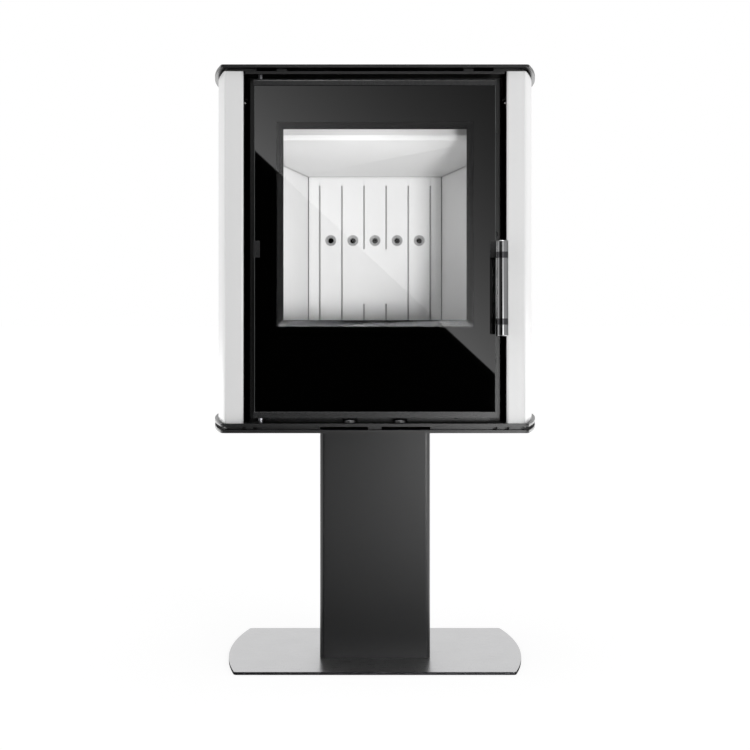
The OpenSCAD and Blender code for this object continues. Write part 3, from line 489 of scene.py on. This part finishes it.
def printed_glass():
    """The same glass with black ceramic print fired on its back: a black mirror."""
    material, tree, output = new_material("printed_ceramic_glass_black")
    shader = add_node(tree, "ShaderNodeBsdfPrincipled", inputs={
        "Base Color": linear(colours().print_black), "Roughness": 0.015, "IOR": 1.52})
    tree.links.new(shader.outputs[0], output.inputs["Surface"])
    return material


def ground_glass():
    """The pane's edge, ground with a diamond wheel: frosted, so it shows as a thin grey line."""
    return surface("ground_ceramic_glass_edge", colours().ground_glass, 0.45, ior=1.52, vary=0.05,
                   bump=0.02 * MM, bump_mm=0.3, rough_vary=0.1)


# ---- Pieces ----

LINING = ("hearth_lining", "side_linings", "corner_linings", "rear_lining", "lower_baffle")


class StoveOperator:
    """What the stove's operators share."""

    bl_options = {"REGISTER", "UNDO"}

    def execute(self, context):
        self.make()
        return {"FINISHED"}


class STOVE_OT_pedestal(StoveOperator, bpy.types.Operator):
    """Finish the base plate, the column and what holds them"""

    bl_idname = "stove.pedestal"
    bl_label = "Pedestal"

    def make(self):
        put_on(brushed_stainless(), "base_plate")
        paint = stove_paint()
        put_on(paint, "column_shell", "column_rear_cover", "column_frames", "air_inlet_spigot")
        break_edges(0.5 * MM, "base_plate", "column_rear_cover", "column_frames", "air_inlet_spigot")


class STOVE_OT_casing(StoveOperator, bpy.types.Operator):
    """Finish the bowed plates, the side panels and the rear panel"""

    bl_idname = "stove.casing"
    bl_label = "Casing"

    def make(self):
        paint = stove_paint()
        plates = ("bottom_plate", "support_plate", "top_plate", "inner_top_plate", "bottom_spacer",
                  "top_spacers", "top_edge_strips")
        put_on(paint, *plates, "rear_panel", "flue_collar")
        break_edges(0.6 * MM, *plates, "flue_collar")
        put_on(powder_coat(), "left_side_panel", "right_side_panel")
        break_edges(0.9 * MM, "left_side_panel", "right_side_panel")
        self.packing()

    def packing(self):
        """Fibre tape that closes the gap under the top plate at the rear corners of the side panels."""
        inner, outer = 236 * MM, 250 * MM
        inset, thick, play, rounding = 1 * MM, 2.5 * MM, 0.1 * MM, 0.8 * MM
        panel = highest("right_side_panel")
        ys = (panel.y - inset - thick, panel.y - inset)
        zs = (panel.z + play, lowest("top_plate").z - play)

        def build(form):
            for xs in ((-outer, -inner), (inner, outer)):
                add_box(form, (xs[0], ys[0], zs[0]), (xs[1], ys[1], zs[1]))
            bmesh.ops.bevel(form, geom=form.edges[:], offset=rounding, segments=3, affect="EDGES")

        tape = glass_fibre("woven_glass_fibre_tape", colours().tape)
        mesh_piece("corner_packing", build, tape, "root")


class STOVE_OT_firebox(StoveOperator, bpy.types.Operator):
    """Finish the firebox, its linings and the grate"""

    bl_idname = "stove.firebox"
    bl_label = "Firebox"

    def make(self):
        paint = rail_paint()
        put_on(paint, "firebox_sides", "firebox_rear_wall", "firebox_floor_and_roof",
               "sealing_frame", "front_sill", "air_box", "rear_air_duct", "upper_baffle")
        put_on(front_sheet_shaded_paint(), "firebox_front_plate")
        break_edges(0.5 * MM, "front_sill", "sealing_frame")
        put_on(vermiculite(), *LINING)
        put_on(vermiculite(drilled=True), "rear_lining")
        break_edges(0.8 * MM, *LINING)
        put_on(cast_iron(), "grate")
        break_edges(1.5 * MM, "grate")
        put_on(zinc_plate(), "ash_pan")
        put_on(turned_steel(), "hinge_pins")
        put_on(paint, "latch_keepers")


class STOVE_OT_door(StoveOperator, bpy.types.Operator):
    """Make the door glass and the rope seal, and finish the door's steel"""

    bl_idname = "stove.door"
    bl_label = "Door"

    def make(self):
        fittings = ("top_rail", "bottom_rail", "glass_clips", "hinge_plates", "shaft_lugs")
        put_on(rail_paint(), "door_frame", *fittings)
        put_on(bezel_paint(), "window_bezel")
        break_edges(0.3 * MM, *fittings)
        break_edges(0.6 * MM, "window_bezel")
        put_on(glass_fibre("woven_glass_fibre_tape", colours().tape), "glass_gasket")
        self.glass()
        self.rope()

    def glass(self):
        """One pane with ground edges: clear in the window, printed black round it."""
        low, high = lowest("door_glass"), highest("door_glass")
        opening_low, opening_high = lowest("window_bezel"), highest("window_bezel")
        half_clear = sizes().clear_half
        clear_z = (opening_low.z + sizes().clear_inset, opening_high.z - sizes().clear_inset)
        edge = sizes().glass_edge

        def build(form):
            """Front and back faces split at the window, joined by bevelled sides."""
            def sheet(y, inset):
                """Nine faces, clear in the middle; returns the twelve vertices round them."""
                xs = (low.x + inset, -half_clear, half_clear, high.x - inset)
                zs = (low.z + inset, clear_z[0], clear_z[1], high.z - inset)
                grid = [[form.verts.new((x, y, z)) for x in xs] for z in zs]
                for row in range(3):
                    for col in range(3):
                        face = form.faces.new([grid[row][col], grid[row][col + 1],
                                               grid[row + 1][col + 1], grid[row + 1][col]])
                        face.material_index = 0 if row == 1 and col == 1 else 1
                return grid[0] + [row[3] for row in grid[1:]] + grid[3][2::-1] + [grid[2][0], grid[1][0]]

            def loop(y):
                """Twelve vertices round the pane's outline, in the order of a sheet's."""
                xs = (low.x, -half_clear, half_clear, high.x)
                zs = (low.z, clear_z[0], clear_z[1], high.z)
                places = [(x, zs[0]) for x in xs] + [(xs[3], z) for z in zs[1:]]
                places += [(x, zs[3]) for x in xs[2::-1]] + [(xs[0], z) for z in zs[2:0:-1]]
                return [form.verts.new((x, y, z)) for x, z in places]

            loops = [sheet(low.y, edge), loop(low.y + edge), loop(high.y - edge), sheet(high.y, edge)]
            for first, second in zip(loops, loops[1:]):
                for i in range(len(first)):
                    j = (i + 1) % len(first)
                    face = form.faces.new([first[i], first[j], second[j], second[i]])
                    face.material_index = 2

        mesh_piece("glass_pane", build, [clear_glass(), printed_glass(), ground_glass()],
                   "door", ("door_glass",))

    def rope(self):
        """A plaited rope in a closed loop: its surface swells where two plaits cross."""
        low, high = lowest("rope_seal"), highest("rope_seal")
        r = (high.y - low.y) / 2
        bend = 12 * MM
        step = 1.5 * MM
        quarter = math.pi / 2
        xs = (low.x + r + bend, high.x - r - bend)
        zs = (low.z + r + bend, high.z - r - bend)
        y = (low.y + high.y) / 2
        corners = ((xs[1], zs[0]), (xs[1], zs[1]), (xs[0], zs[1]), (xs[0], zs[0]))
        centres = [Vector((x, y, z)) for x, z in corners]

        def on_bend(centre, angle):
            """A point of a bend's centre line."""
            return centre + Vector((bend * math.cos(angle), 0, bend * math.sin(angle)))

        path = []
        for k, centre in enumerate(centres):
            first = (k - 1) * quarter
            start, end = on_bend(centres[k - 1], first), on_bend(centre, first)
            straight_steps = int((end - start).length / step)
            bend_steps = int(quarter * bend / step)
            path += [start.lerp(end, i / straight_steps) for i in range(straight_steps)]
            path += [on_bend(centre, first + quarter * i / bend_steps) for i in range(bend_steps)]

        def build(form):
            sides = 16
            swelling = 0.1
            pitch = sizes().braid_pitch
            rings = []
            travelled = 0.0
            for i, point in enumerate(path):
                ahead = path[(i + 1) % len(path)]
                along = (ahead - path[i - 1]).normalized()
                across = along.cross(Vector(BACK))
                ring = []
                for k in range(sides):
                    a = 2 * math.pi * k / sides
                    phase = 2 * math.pi * travelled / pitch
                    swell = abs(math.sin(2 * a + phase)) * 0.5 + abs(math.sin(2 * a - phase)) * 0.5
                    radius = r * (1 - swelling + swelling * swell)
                    ring.append(form.verts.new(
                        point + across * radius * math.cos(a) + Vector(BACK) * radius * math.sin(a)))
                rings.append(ring)
                travelled += (ahead - point).length
            for i, ring in enumerate(rings):
                following = rings[(i + 1) % len(rings)]
                for k in range(sides):
                    m = (k + 1) % sides
                    form.faces.new([ring[k], ring[m], following[m], following[k]]).smooth = True

        mesh_piece("rope_seal_plaited", build, glass_fibre("braided_glass_fibre_rope", colours().rope),
                   "door", ("rope_seal",))


class STOVE_OT_handle(StoveOperator, bpy.types.Operator):
    """Finish the handle, its arms and the latch"""

    bl_idname = "stove.handle"
    bl_label = "Handle and latch"

    def make(self):
        put_on(polished_stainless(), "handle_tube", "handle_end_caps")
        put_on(black_chrome(), "handle_collars")
        put_on(rail_paint(), "handle_arms")
        break_edges(0.4 * MM, "handle_arms")
        put_on(rail_paint(), "latch_shaft", "latch_hooks")
        break_edges(0.3 * MM, "latch_hooks")


class STOVE_OT_air_controls(StoveOperator, bpy.types.Operator):
    """Finish the air knobs, their rods and shutters"""

    bl_idname = "stove.air_controls"
    bl_label = "Air controls"

    def make(self):
        put_on(stove_paint(), "primary_knob", "secondary_knob")
        put_on(zinc_plate(), "primary_rod", "secondary_rod", "primary_shutter", "secondary_shutter")


class STOVE_OT_fasteners(StoveOperator, bpy.types.Operator):
    """Make the socket screws of the rail, the casing and the column"""

    bl_idname = "stove.fasteners"
    bl_label = "Fasteners"

    def make(self):
        zinc = zinc_plate()
        black = stove_paint()
        self.rail_screws(black)
        self.casing_screws(zinc, black)
        put_on(zinc, "foot_bolts", "head_bolts")
        break_edges(0.4 * MM, "head_bolts")

    def rail_screws(self, black):
        """Three small screws, up through the door's lower rail."""
        low, high = lowest("rail_screws"), highest("rail_screws")
        head_r = (high.y - low.y) / 2
        head_h = 1.5 * MM
        seat = low.z + head_h

        def build(form):
            for x in (low.x + head_r, 0.0, high.x - head_r):
                socket_screw(form, (x, (low.y + high.y) / 2, seat), (0, 0, -1), head_r, head_h,
                             head_r / 2, high.z - seat, head_r * 0.45)

        mesh_piece("rail_button_screws", build, black, "door", ("rail_screws",))

    def casing_screws(self, zinc, black):
        """Bright screws at the back of the column and the casing, and a black one by the door."""
        low, high = lowest("casing_screws"), highest("casing_screws")
        head_r, head_h, shank_r, socket_r = 4.5 * MM, 2.5 * MM, 2.5 * MM, 2 * MM
        cover_x, cover_zs = 79 * MM, (25 * MM, 207 * MM, 390 * MM)
        panel_end = 30 * MM
        panel_top = high.z - head_r
        panel_foot = highest("support_plate").z + panel_end
        panel_zs = (panel_foot, (panel_top + panel_foot) / 2, panel_top)
        cover_back, panel_back = highest("column_rear_cover").y, highest("right_side_panel").y
        by_the_door = (202 * MM, lowest("firebox_front_plate").y, 739.6 * MM)

        def build(form):
            def screw(at, axis, length):
                """One screw of the size that they share."""
                socket_screw(form, at, axis, head_r, head_h, shank_r, length, socket_r)

            for x in (-cover_x, cover_x):
                for z in cover_zs:
                    screw((x, cover_back, z), BACK, 7 * MM)
            for x in (low.x + head_r, high.x - head_r):
                for z in panel_zs:
                    screw((x, panel_back, z), BACK, 5 * MM)
            bright = set(form.faces)
            screw(by_the_door, (0, -1, 0), 4 * MM)
            for face in set(form.faces) - bright:
                face.material_index = 1

        mesh_piece("casing_button_screws", build, [zinc, black], "root", ("casing_screws",))


# What gloss sees round the stove: degrees from the front to the right, and grey level
SOFTBOXES = (
    (-180, 0.95), (-152, 0.9), (-140, 0.5), (-128, 0.3), (-100, 0.12), (-88, 0.3), (-78, 1.1), (-70, 0.9),
    (-60, 0.3), (-50, 0.08), (-30, 0.05), (0, 0.04), (20, 0.1), (36, 0.2), (46, 0.2), (56, 0.4),
    (64, 1.1), (72, 0.8), (80, 0.6), (95, 0.4), (121, 0.4), (138, 0.6), (152, 0.9), (179, 0.95),
)


class STOVE_OT_studio(StoveOperator, bpy.types.Operator):
    """Set the floor, the surroundings, the lamps and the camera"""

    bl_idname = "stove.studio"
    bl_label = "Studio"

    def make(self):
        studio = bpy.context.scene.stove_studio
        self.surroundings(studio)
        self.floor()
        self.cards()
        self.lamps(studio)
        self.camera(studio)
        bpy.context.scene.view_settings.view_transform = "Standard"

    def surroundings(self, studio):
        """White behind everything that the eye sees; light that is stronger from the sides; and for gloss
        a dim room with upright softboxes round it and a bright one overhead in front, so that rounded metal
        shows stripes."""
        world = bpy.data.worlds.new("white_studio")
        bpy.context.scene.world = world
        world.use_nodes = True
        tree = world.node_tree
        tree.nodes.clear()
        output = add_node(tree, "ShaderNodeOutputWorld")
        path = add_node(tree, "ShaderNodeLightPath")
        way = add_node(tree, "ShaderNodeTexCoord").outputs["Generated"]
        parts = add_node(tree, "ShaderNodeSeparateXYZ", links={"Vector": way})

        aside = add_node(tree, "ShaderNodeMath", operation="MULTIPLY",
                         links={0: parts.outputs["X"], 1: parts.outputs["X"]})
        light = add_node(tree, "ShaderNodeMath", operation="MULTIPLY_ADD", links={0: aside.outputs[0]},
                         inputs={1: studio.side_sky, 2: studio.front_sky})

        turn = add_node(tree, "ShaderNodeTexGradient", gradient_type="RADIAL", links={"Vector": way})
        room = add_node(tree, "ShaderNodeValToRGB", links={"Fac": turn.outputs["Fac"]})
        self.fill_ramp(room.color_ramp, SOFTBOXES)
        overhead_edge, overhead_full = 0.82, 0.97
        front_full, front_edge = -0.25, -0.05
        above = add_node(tree, "ShaderNodeMapRange", interpolation_type="SMOOTHSTEP",
                         links={"Value": parts.outputs["Z"]},
                         inputs={"From Min": overhead_edge, "From Max": overhead_full,
                                 "To Max": studio.top_gloss})
        in_front = add_node(tree, "ShaderNodeMapRange", interpolation_type="SMOOTHSTEP",
                            links={"Value": parts.outputs["Y"]},
                            inputs={"From Min": front_full, "From Max": front_edge,
                                    "To Min": 1.0, "To Max": 0.0})
        gloss = add_node(tree, "ShaderNodeMath", operation="MULTIPLY_ADD",
                         links={0: above.outputs[0], 1: in_front.outputs[0], 2: room.outputs["Color"]})

        mirrored = add_node(tree, "ShaderNodeMath", operation="MINIMUM",
                            links={0: path.outputs["Glossy Depth"]}, inputs={1: 1.0})
        chosen = add_node(tree, "ShaderNodeMix", data_type="FLOAT",
                          links={"Factor": mirrored.outputs[0], "A": light.outputs[0], "B": gloss.outputs[0]})
        bounced = add_node(tree, "ShaderNodeMath", operation="ADD",
                           links={0: path.outputs["Glossy Depth"], 1: path.outputs["Diffuse Depth"]})
        seen = add_node(tree, "ShaderNodeMath", operation="LESS_THAN", links={0: bounced.outputs[0]},
                        inputs={1: 0.5})
        level = add_node(tree, "ShaderNodeMix", data_type="FLOAT", inputs={"B": 1.0},
                         links={"Factor": seen.outputs[0], "A": chosen.outputs["Result"]})
        sky = add_node(tree, "ShaderNodeBackground", links={"Strength": level.outputs["Result"]},
                       inputs={"Color": (1, 1, 1, 1)})
        tree.links.new(sky.outputs[0], output.inputs["Surface"])

    def fill_ramp(self, ramp, stops):
        """Sets a colour ramp's stops: degrees round from the front to the right, and grey level."""
        places = sorted(((0.25 + degrees / 360) % 1.0, level) for degrees, level in stops)
        while len(ramp.elements) > 1:
            ramp.elements.remove(ramp.elements[0])
        ramp.elements[0].position = places[0][0]
        ramp.elements[0].color = (*[places[0][1]] * 3, 1.0)
        for place, level in places[1:]:
            ramp.elements.new(place).color = (level, level, level, 1.0)

    def floor(self):
        """Pale floor: near white to the eye, with the stove's soft shadow. Gloss sees it dimmer: brighter to
        the right and beside the stove, dim at the base plate's front as a painted shadow, and open to the
        room in the distance."""
        pale, veil_share, veil_level = 0.95, 0.75, 1.12
        left_end, right_end, left_level, right_level = -0.7, 0.9, 0.05, 2.1
        reach, reach_share, contact_shadow_share = 1.4, 0.9, 0.06
        splay, side_edge, side_full, side_level = 0.45, 0.22, 0.5, 1.9
        fade_start, fade_end, half_size = 5.0, 9.0, 30.0
        base_front = lowest("base_plate").y

        material, tree, output = new_material("pale_floor")
        path = add_node(tree, "ShaderNodeLightPath")
        matt = add_node(tree, "ShaderNodeBsdfDiffuse", inputs={"Color": (pale, pale, pale, 1)})
        veil = add_node(tree, "ShaderNodeEmission", inputs={"Color": (1, 1, 1, 1), "Strength": veil_level})
        share = add_node(tree, "ShaderNodeMath", operation="MULTIPLY",
                         links={0: path.outputs["Is Camera Ray"]}, inputs={1: veil_share})
        seen = add_node(tree, "ShaderNodeMixShader",
                        links={0: share.outputs[0], 1: matt.outputs[0], 2: veil.outputs[0]})

        place = add_node(tree, "ShaderNodeNewGeometry").outputs["Position"]
        parts = add_node(tree, "ShaderNodeSeparateXYZ", links={"Vector": place})
        across = add_node(tree, "ShaderNodeMapRange", links={"Value": parts.outputs["X"]},
                          inputs={"From Min": left_end, "From Max": right_end,
                                  "To Min": left_level, "To Max": right_level})
        # Painted shadow: what gloss sees of the floor dims towards the base plate's front, in place of the
        # stove's contact shadow
        away = add_node(tree, "ShaderNodeMapRange", interpolation_type="SMOOTHSTEP",
                        links={"Value": parts.outputs["Y"]},
                        inputs={"From Min": base_front - reach, "From Max": base_front,
                                "To Min": reach_share, "To Max": contact_shadow_share})
        before = add_node(tree, "ShaderNodeMath", operation="MULTIPLY",
                          links={0: across.outputs[0], 1: away.outputs[0]})
        ahead = add_node(tree, "ShaderNodeMath", operation="MULTIPLY", links={0: parts.outputs["Y"]},
                         inputs={1: -splay})
        aside = add_node(tree, "ShaderNodeMath", operation="ABSOLUTE", links={0: parts.outputs["X"]})
        past = add_node(tree, "ShaderNodeMath", operation="SUBTRACT",
                        links={0: aside.outputs[0], 1: ahead.outputs[0]})
        beside = add_node(tree, "ShaderNodeMapRange", interpolation_type="SMOOTHSTEP",
                          links={"Value": past.outputs[0]},
                          inputs={"From Min": side_edge, "From Max": side_full, "To Max": side_level})
        level = add_node(tree, "ShaderNodeMath", operation="ADD",
                         links={0: before.outputs[0], 1: beside.outputs[0]})
        level = self.once(tree, level.outputs[0])
        dim = add_node(tree, "ShaderNodeEmission", links={"Strength": level.outputs[0]})
        distance = add_node(tree, "ShaderNodeVectorMath", operation="LENGTH", links={0: place})
        far = add_node(tree, "ShaderNodeMapRange", interpolation_type="SMOOTHSTEP",
                       links={"Value": distance.outputs["Value"]},
                       inputs={"From Min": fade_start, "From Max": fade_end})
        clear = add_node(tree, "ShaderNodeBsdfTransparent")
        gloss = add_node(tree, "ShaderNodeMixShader",
                         links={0: far.outputs[0], 1: dim.outputs[0], 2: clear.outputs[0]})
        both = add_node(tree, "ShaderNodeMixShader",
                        links={0: path.outputs["Is Glossy Ray"], 1: seen.outputs[0], 2: gloss.outputs[0]})
        tree.links.new(both.outputs[0], output.inputs["Surface"])

        span = (-half_size, half_size)
        ground = self.card("floor", (0, 0, 0), RIGHT, BACK, span, span, material)
        ground.visible_diffuse = False

    def card(self, name, at, right, up, span_right, span_up, material, only_gloss=False):
        """A flat stage piece: two directions from its origin, and how far it reaches along each."""
        mesh = bpy.data.meshes.new(name)
        corners = [(span_right[0], span_up[0]), (span_right[1], span_up[0]),
                   (span_right[1], span_up[1]), (span_right[0], span_up[1])]
        mesh.from_pydata([(a, b, 0) for a, b in corners], [], [(0, 1, 2, 3)])
        mesh.materials.append(material)
        piece = bpy.data.objects.new(name, mesh)
        bpy.context.scene.collection.objects.link(piece)
        right, up = Vector(right).normalized(), Vector(up).normalized()
        turn = Matrix((right, up, right.cross(up))).transposed().to_4x4()
        piece.matrix_world = Matrix.Translation(Vector(at)) @ turn
        if only_gloss:
            piece.visible_camera = False
            piece.visible_diffuse = False
            piece.visible_shadow = False
            piece.visible_transmission = False
        return piece

    def bell(self, tree, place, centre, scale):
        """A soft spot round a centre: 1 in the middle, falling off over scale."""
        away = add_node(tree, "ShaderNodeMapping", vector_type="TEXTURE", links={"Vector": place},
                        inputs={"Location": (*centre, 0), "Scale": (*scale, 1)})
        square = add_node(tree, "ShaderNodeVectorMath", operation="DOT_PRODUCT",
                          links={0: away.outputs[0], 1: away.outputs[0]})
        negative = add_node(tree, "ShaderNodeMath", operation="MULTIPLY", links={0: square.outputs["Value"]},
                            inputs={1: -1.0})
        spot = add_node(tree, "ShaderNodeMath", operation="EXPONENT", links={0: negative.outputs[0]})
        return spot.outputs[0]

    def once(self, tree, level):
        """Light that gloss sees at full strength only in its first bounce, so that dark gaps stay dark."""
        later = 0.3
        path = add_node(tree, "ShaderNodeLightPath")
        share = add_node(tree, "ShaderNodeMapRange", links={"Value": path.outputs["Glossy Depth"]},
                         inputs={"From Min": 1.0, "From Max": 2.0, "To Min": 1.0, "To Max": later})
        return add_node(tree, "ShaderNodeMath", operation="MULTIPLY", links={0: level, 1: share.outputs[0]})

    def cards(self):
        """What the front of the stove mirrors: a wall with a softbox at its lower right, a black flag before
        it, and over the flag a tilted card, cut off at the left by a second flag."""
        flag, tree, output = new_material("black_flag")
        cloth = add_node(tree, "ShaderNodeBsdfDiffuse", inputs={"Color": (0, 0, 0, 1)})
        tree.links.new(cloth.outputs[0], output.inputs["Surface"])
        flag_left, flag_up = -1.3, (0.195, 1.44)

        self.card("front_wall", (0, -3.02, 0), RIGHT, UP, (-2.0, 2.4), (0, 2.6), self.front_wall(), True)
        self.card("black_flag", (0, -3.0, 0), RIGHT, UP, (flag_left, 0.442), flag_up, flag, True)
        self.card("left_flag", (0, -2.95, 0), RIGHT, UP, (flag_left, -0.445), flag_up, flag, True)
        self.card("soft_card", (0.0, -2.98, 0.767), (0.732, 0, -0.681), (0.681, 0, 0.732),
                  (-0.9, 0.602), (0, 0.85), self.soft_card(), True)

    def front_wall(self):
        """A dim wall that brightens to the right, with a softbox low at its right."""
        box_at, box_size, box_level, wall_level = (0.95, 0.0), (0.55, 0.34), 22.0, 0.1
        bright_start, bright_full, bright_level = 0.2, 0.75, 1.1
        wall, tree, output = new_material("front_wall")
        place = add_node(tree, "ShaderNodeTexCoord").outputs["Object"]
        low = add_node(tree, "ShaderNodeMath", operation="MULTIPLY_ADD",
                       links={0: self.bell(tree, place, box_at, box_size)},
                       inputs={1: box_level, 2: wall_level})
        across = add_node(tree, "ShaderNodeSeparateXYZ", links={"Vector": place})
        upright = add_node(tree, "ShaderNodeMapRange", interpolation_type="SMOOTHSTEP",
                           links={"Value": across.outputs["X"]},
                           inputs={"From Min": bright_start, "From Max": bright_full,
                                   "To Max": bright_level})
        level = add_node(tree, "ShaderNodeMath", operation="ADD",
                         links={0: upright.outputs[0], 1: low.outputs[0]})
        level = self.once(tree, level.outputs[0])
        glow = add_node(tree, "ShaderNodeEmission", links={"Strength": level.outputs[0]})
        tree.links.new(glow.outputs[0], output.inputs["Surface"])
        return wall

    def soft_card(self):
        """A card lit along its lower edge; its light falls off up the card."""
        edge_level, fall_per_metre = 2.1, -2.44
        soft, tree, output = new_material("soft_card")
        place = add_node(tree, "ShaderNodeTexCoord").outputs["Object"]
        parts = add_node(tree, "ShaderNodeSeparateXYZ", links={"Vector": place})
        fall = add_node(tree, "ShaderNodeMath", operation="MULTIPLY", links={0: parts.outputs["Y"]},
                        inputs={1: fall_per_metre})
        power = add_node(tree, "ShaderNodeMath", operation="EXPONENT", links={0: fall.outputs[0]})
        level = add_node(tree, "ShaderNodeMath", operation="MULTIPLY", links={0: power.outputs[0]},
                         inputs={1: edge_level})
        glow = add_node(tree, "ShaderNodeEmission", links={"Strength": level.outputs[0]})
        tree.links.new(glow.outputs[0], output.inputs["Surface"])
        return soft

    def lamps(self, studio):
        """A soft key at the right front, a snooted lamp that shines through the window only, and the glow
        that the lit hearth would throw up. The last two light the firebox alone, as a snoot would do."""
        self.lamp("key", at=(1.8, -2.2, 1.6), target=(0, 0, 0.6), side=1.4, power=studio.key_power)
        snoot = bpy.data.lights.new("fire_lamp", "SPOT")
        snoot.energy = studio.fire_power
        snoot.shadow_soft_size = 0.1
        snoot.spot_size = math.radians(26)
        fire = self.hang(snoot, at=(0.3, -1.1, 0.575), target=(0.0, -0.19, 0.754))
        glow = self.lamp("hearth_glow", at=(-0.05, -0.155, 0.6), target=(-0.06, -0.145, 0.9), side=0.14,
                         power=studio.hearth_power)
        firebox = bpy.data.collections.new("lit_through_window")
        for name in (*LINING, "grate"):
            firebox.objects.link(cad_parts[name])
        for piece in (fire, glow):
            piece.light_linking.receiver_collection = firebox

    def lamp(self, name, at, target, side, power):
        """A square soft lamp at a place, turned to a target."""
        light = bpy.data.lights.new(name, "AREA")
        light.shape = "SQUARE"
        light.size = side
        light.energy = power
        return self.hang(light, at, target)

    def hang(self, light, at, target):
        """Hangs a lamp at a place, turned to a target, out of sight."""
        piece = bpy.data.objects.new(light.name, light)
        bpy.context.scene.collection.objects.link(piece)
        piece.location = at
        piece.rotation_mode = "QUATERNION"
        piece.rotation_quaternion = (Vector(target) - Vector(at)).to_track_quat("-Z", "Y")
        piece.visible_camera = False
        piece.visible_glossy = False
        piece.visible_transmission = False
        return piece

    def camera(self, studio):
        """Level view from the front, shifted down as the frame of the stove needs."""
        data = bpy.data.cameras.new("front_view")
        data.lens = studio.lens
        data.shift_y = studio.shift
        piece = bpy.data.objects.new("front_view", data)
        bpy.context.scene.collection.objects.link(piece)
        piece.location = studio.eye
        piece.rotation_euler = (math.radians(90), 0, 0)
        bpy.context.scene.camera = piece


# ---- Panel and registration ----

PIECES = (STOVE_OT_pedestal, STOVE_OT_casing, STOVE_OT_firebox, STOVE_OT_door, STOVE_OT_handle,
          STOVE_OT_air_controls, STOVE_OT_fasteners, STOVE_OT_studio)


class STOVE_PT_sidebar(bpy.types.Panel):
    """Lists the stove's settings and operators"""

    bl_idname = "STOVE_PT_sidebar"
    bl_label = "Stove"
    bl_space_type = "VIEW_3D"
    bl_region_type = "UI"
    bl_category = "Stove"

    def draw(self, context):
        for group in (context.scene.stove_sizes, context.scene.stove_colours, context.scene.stove_studio):
            column = self.layout.column(align=True)
            for name in group.__annotations__:
                column.prop(group, name)
        for piece in PIECES:
            self.layout.operator(piece.bl_idname)


GROUPS = {"stove_sizes": StoveSizes, "stove_colours": StoveColours, "stove_studio": StoveStudio}


def register():
    """Adds the settings, the operators and the panel."""
    for name, group in GROUPS.items():
        bpy.utils.register_class(group)
        setattr(bpy.types.Scene, name, PointerProperty(type=group))
    for piece in PIECES:
        bpy.utils.register_class(piece)
    bpy.utils.register_class(STOVE_PT_sidebar)


def unregister():
    """Takes out what register adds."""
    bpy.utils.unregister_class(STOVE_PT_sidebar)
    for piece in reversed(PIECES):
        bpy.utils.unregister_class(piece)
    for name, group in GROUPS.items():
        delattr(bpy.types.Scene, name)
        bpy.utils.unregister_class(group)


def main():
    """Registers the settings and operators, then makes everything in order."""
    register()
    for piece in PIECES:
        family, action = piece.bl_idname.split(".")
        getattr(getattr(bpy.ops, family), action)()


if __name__ == "__main__":
    main()
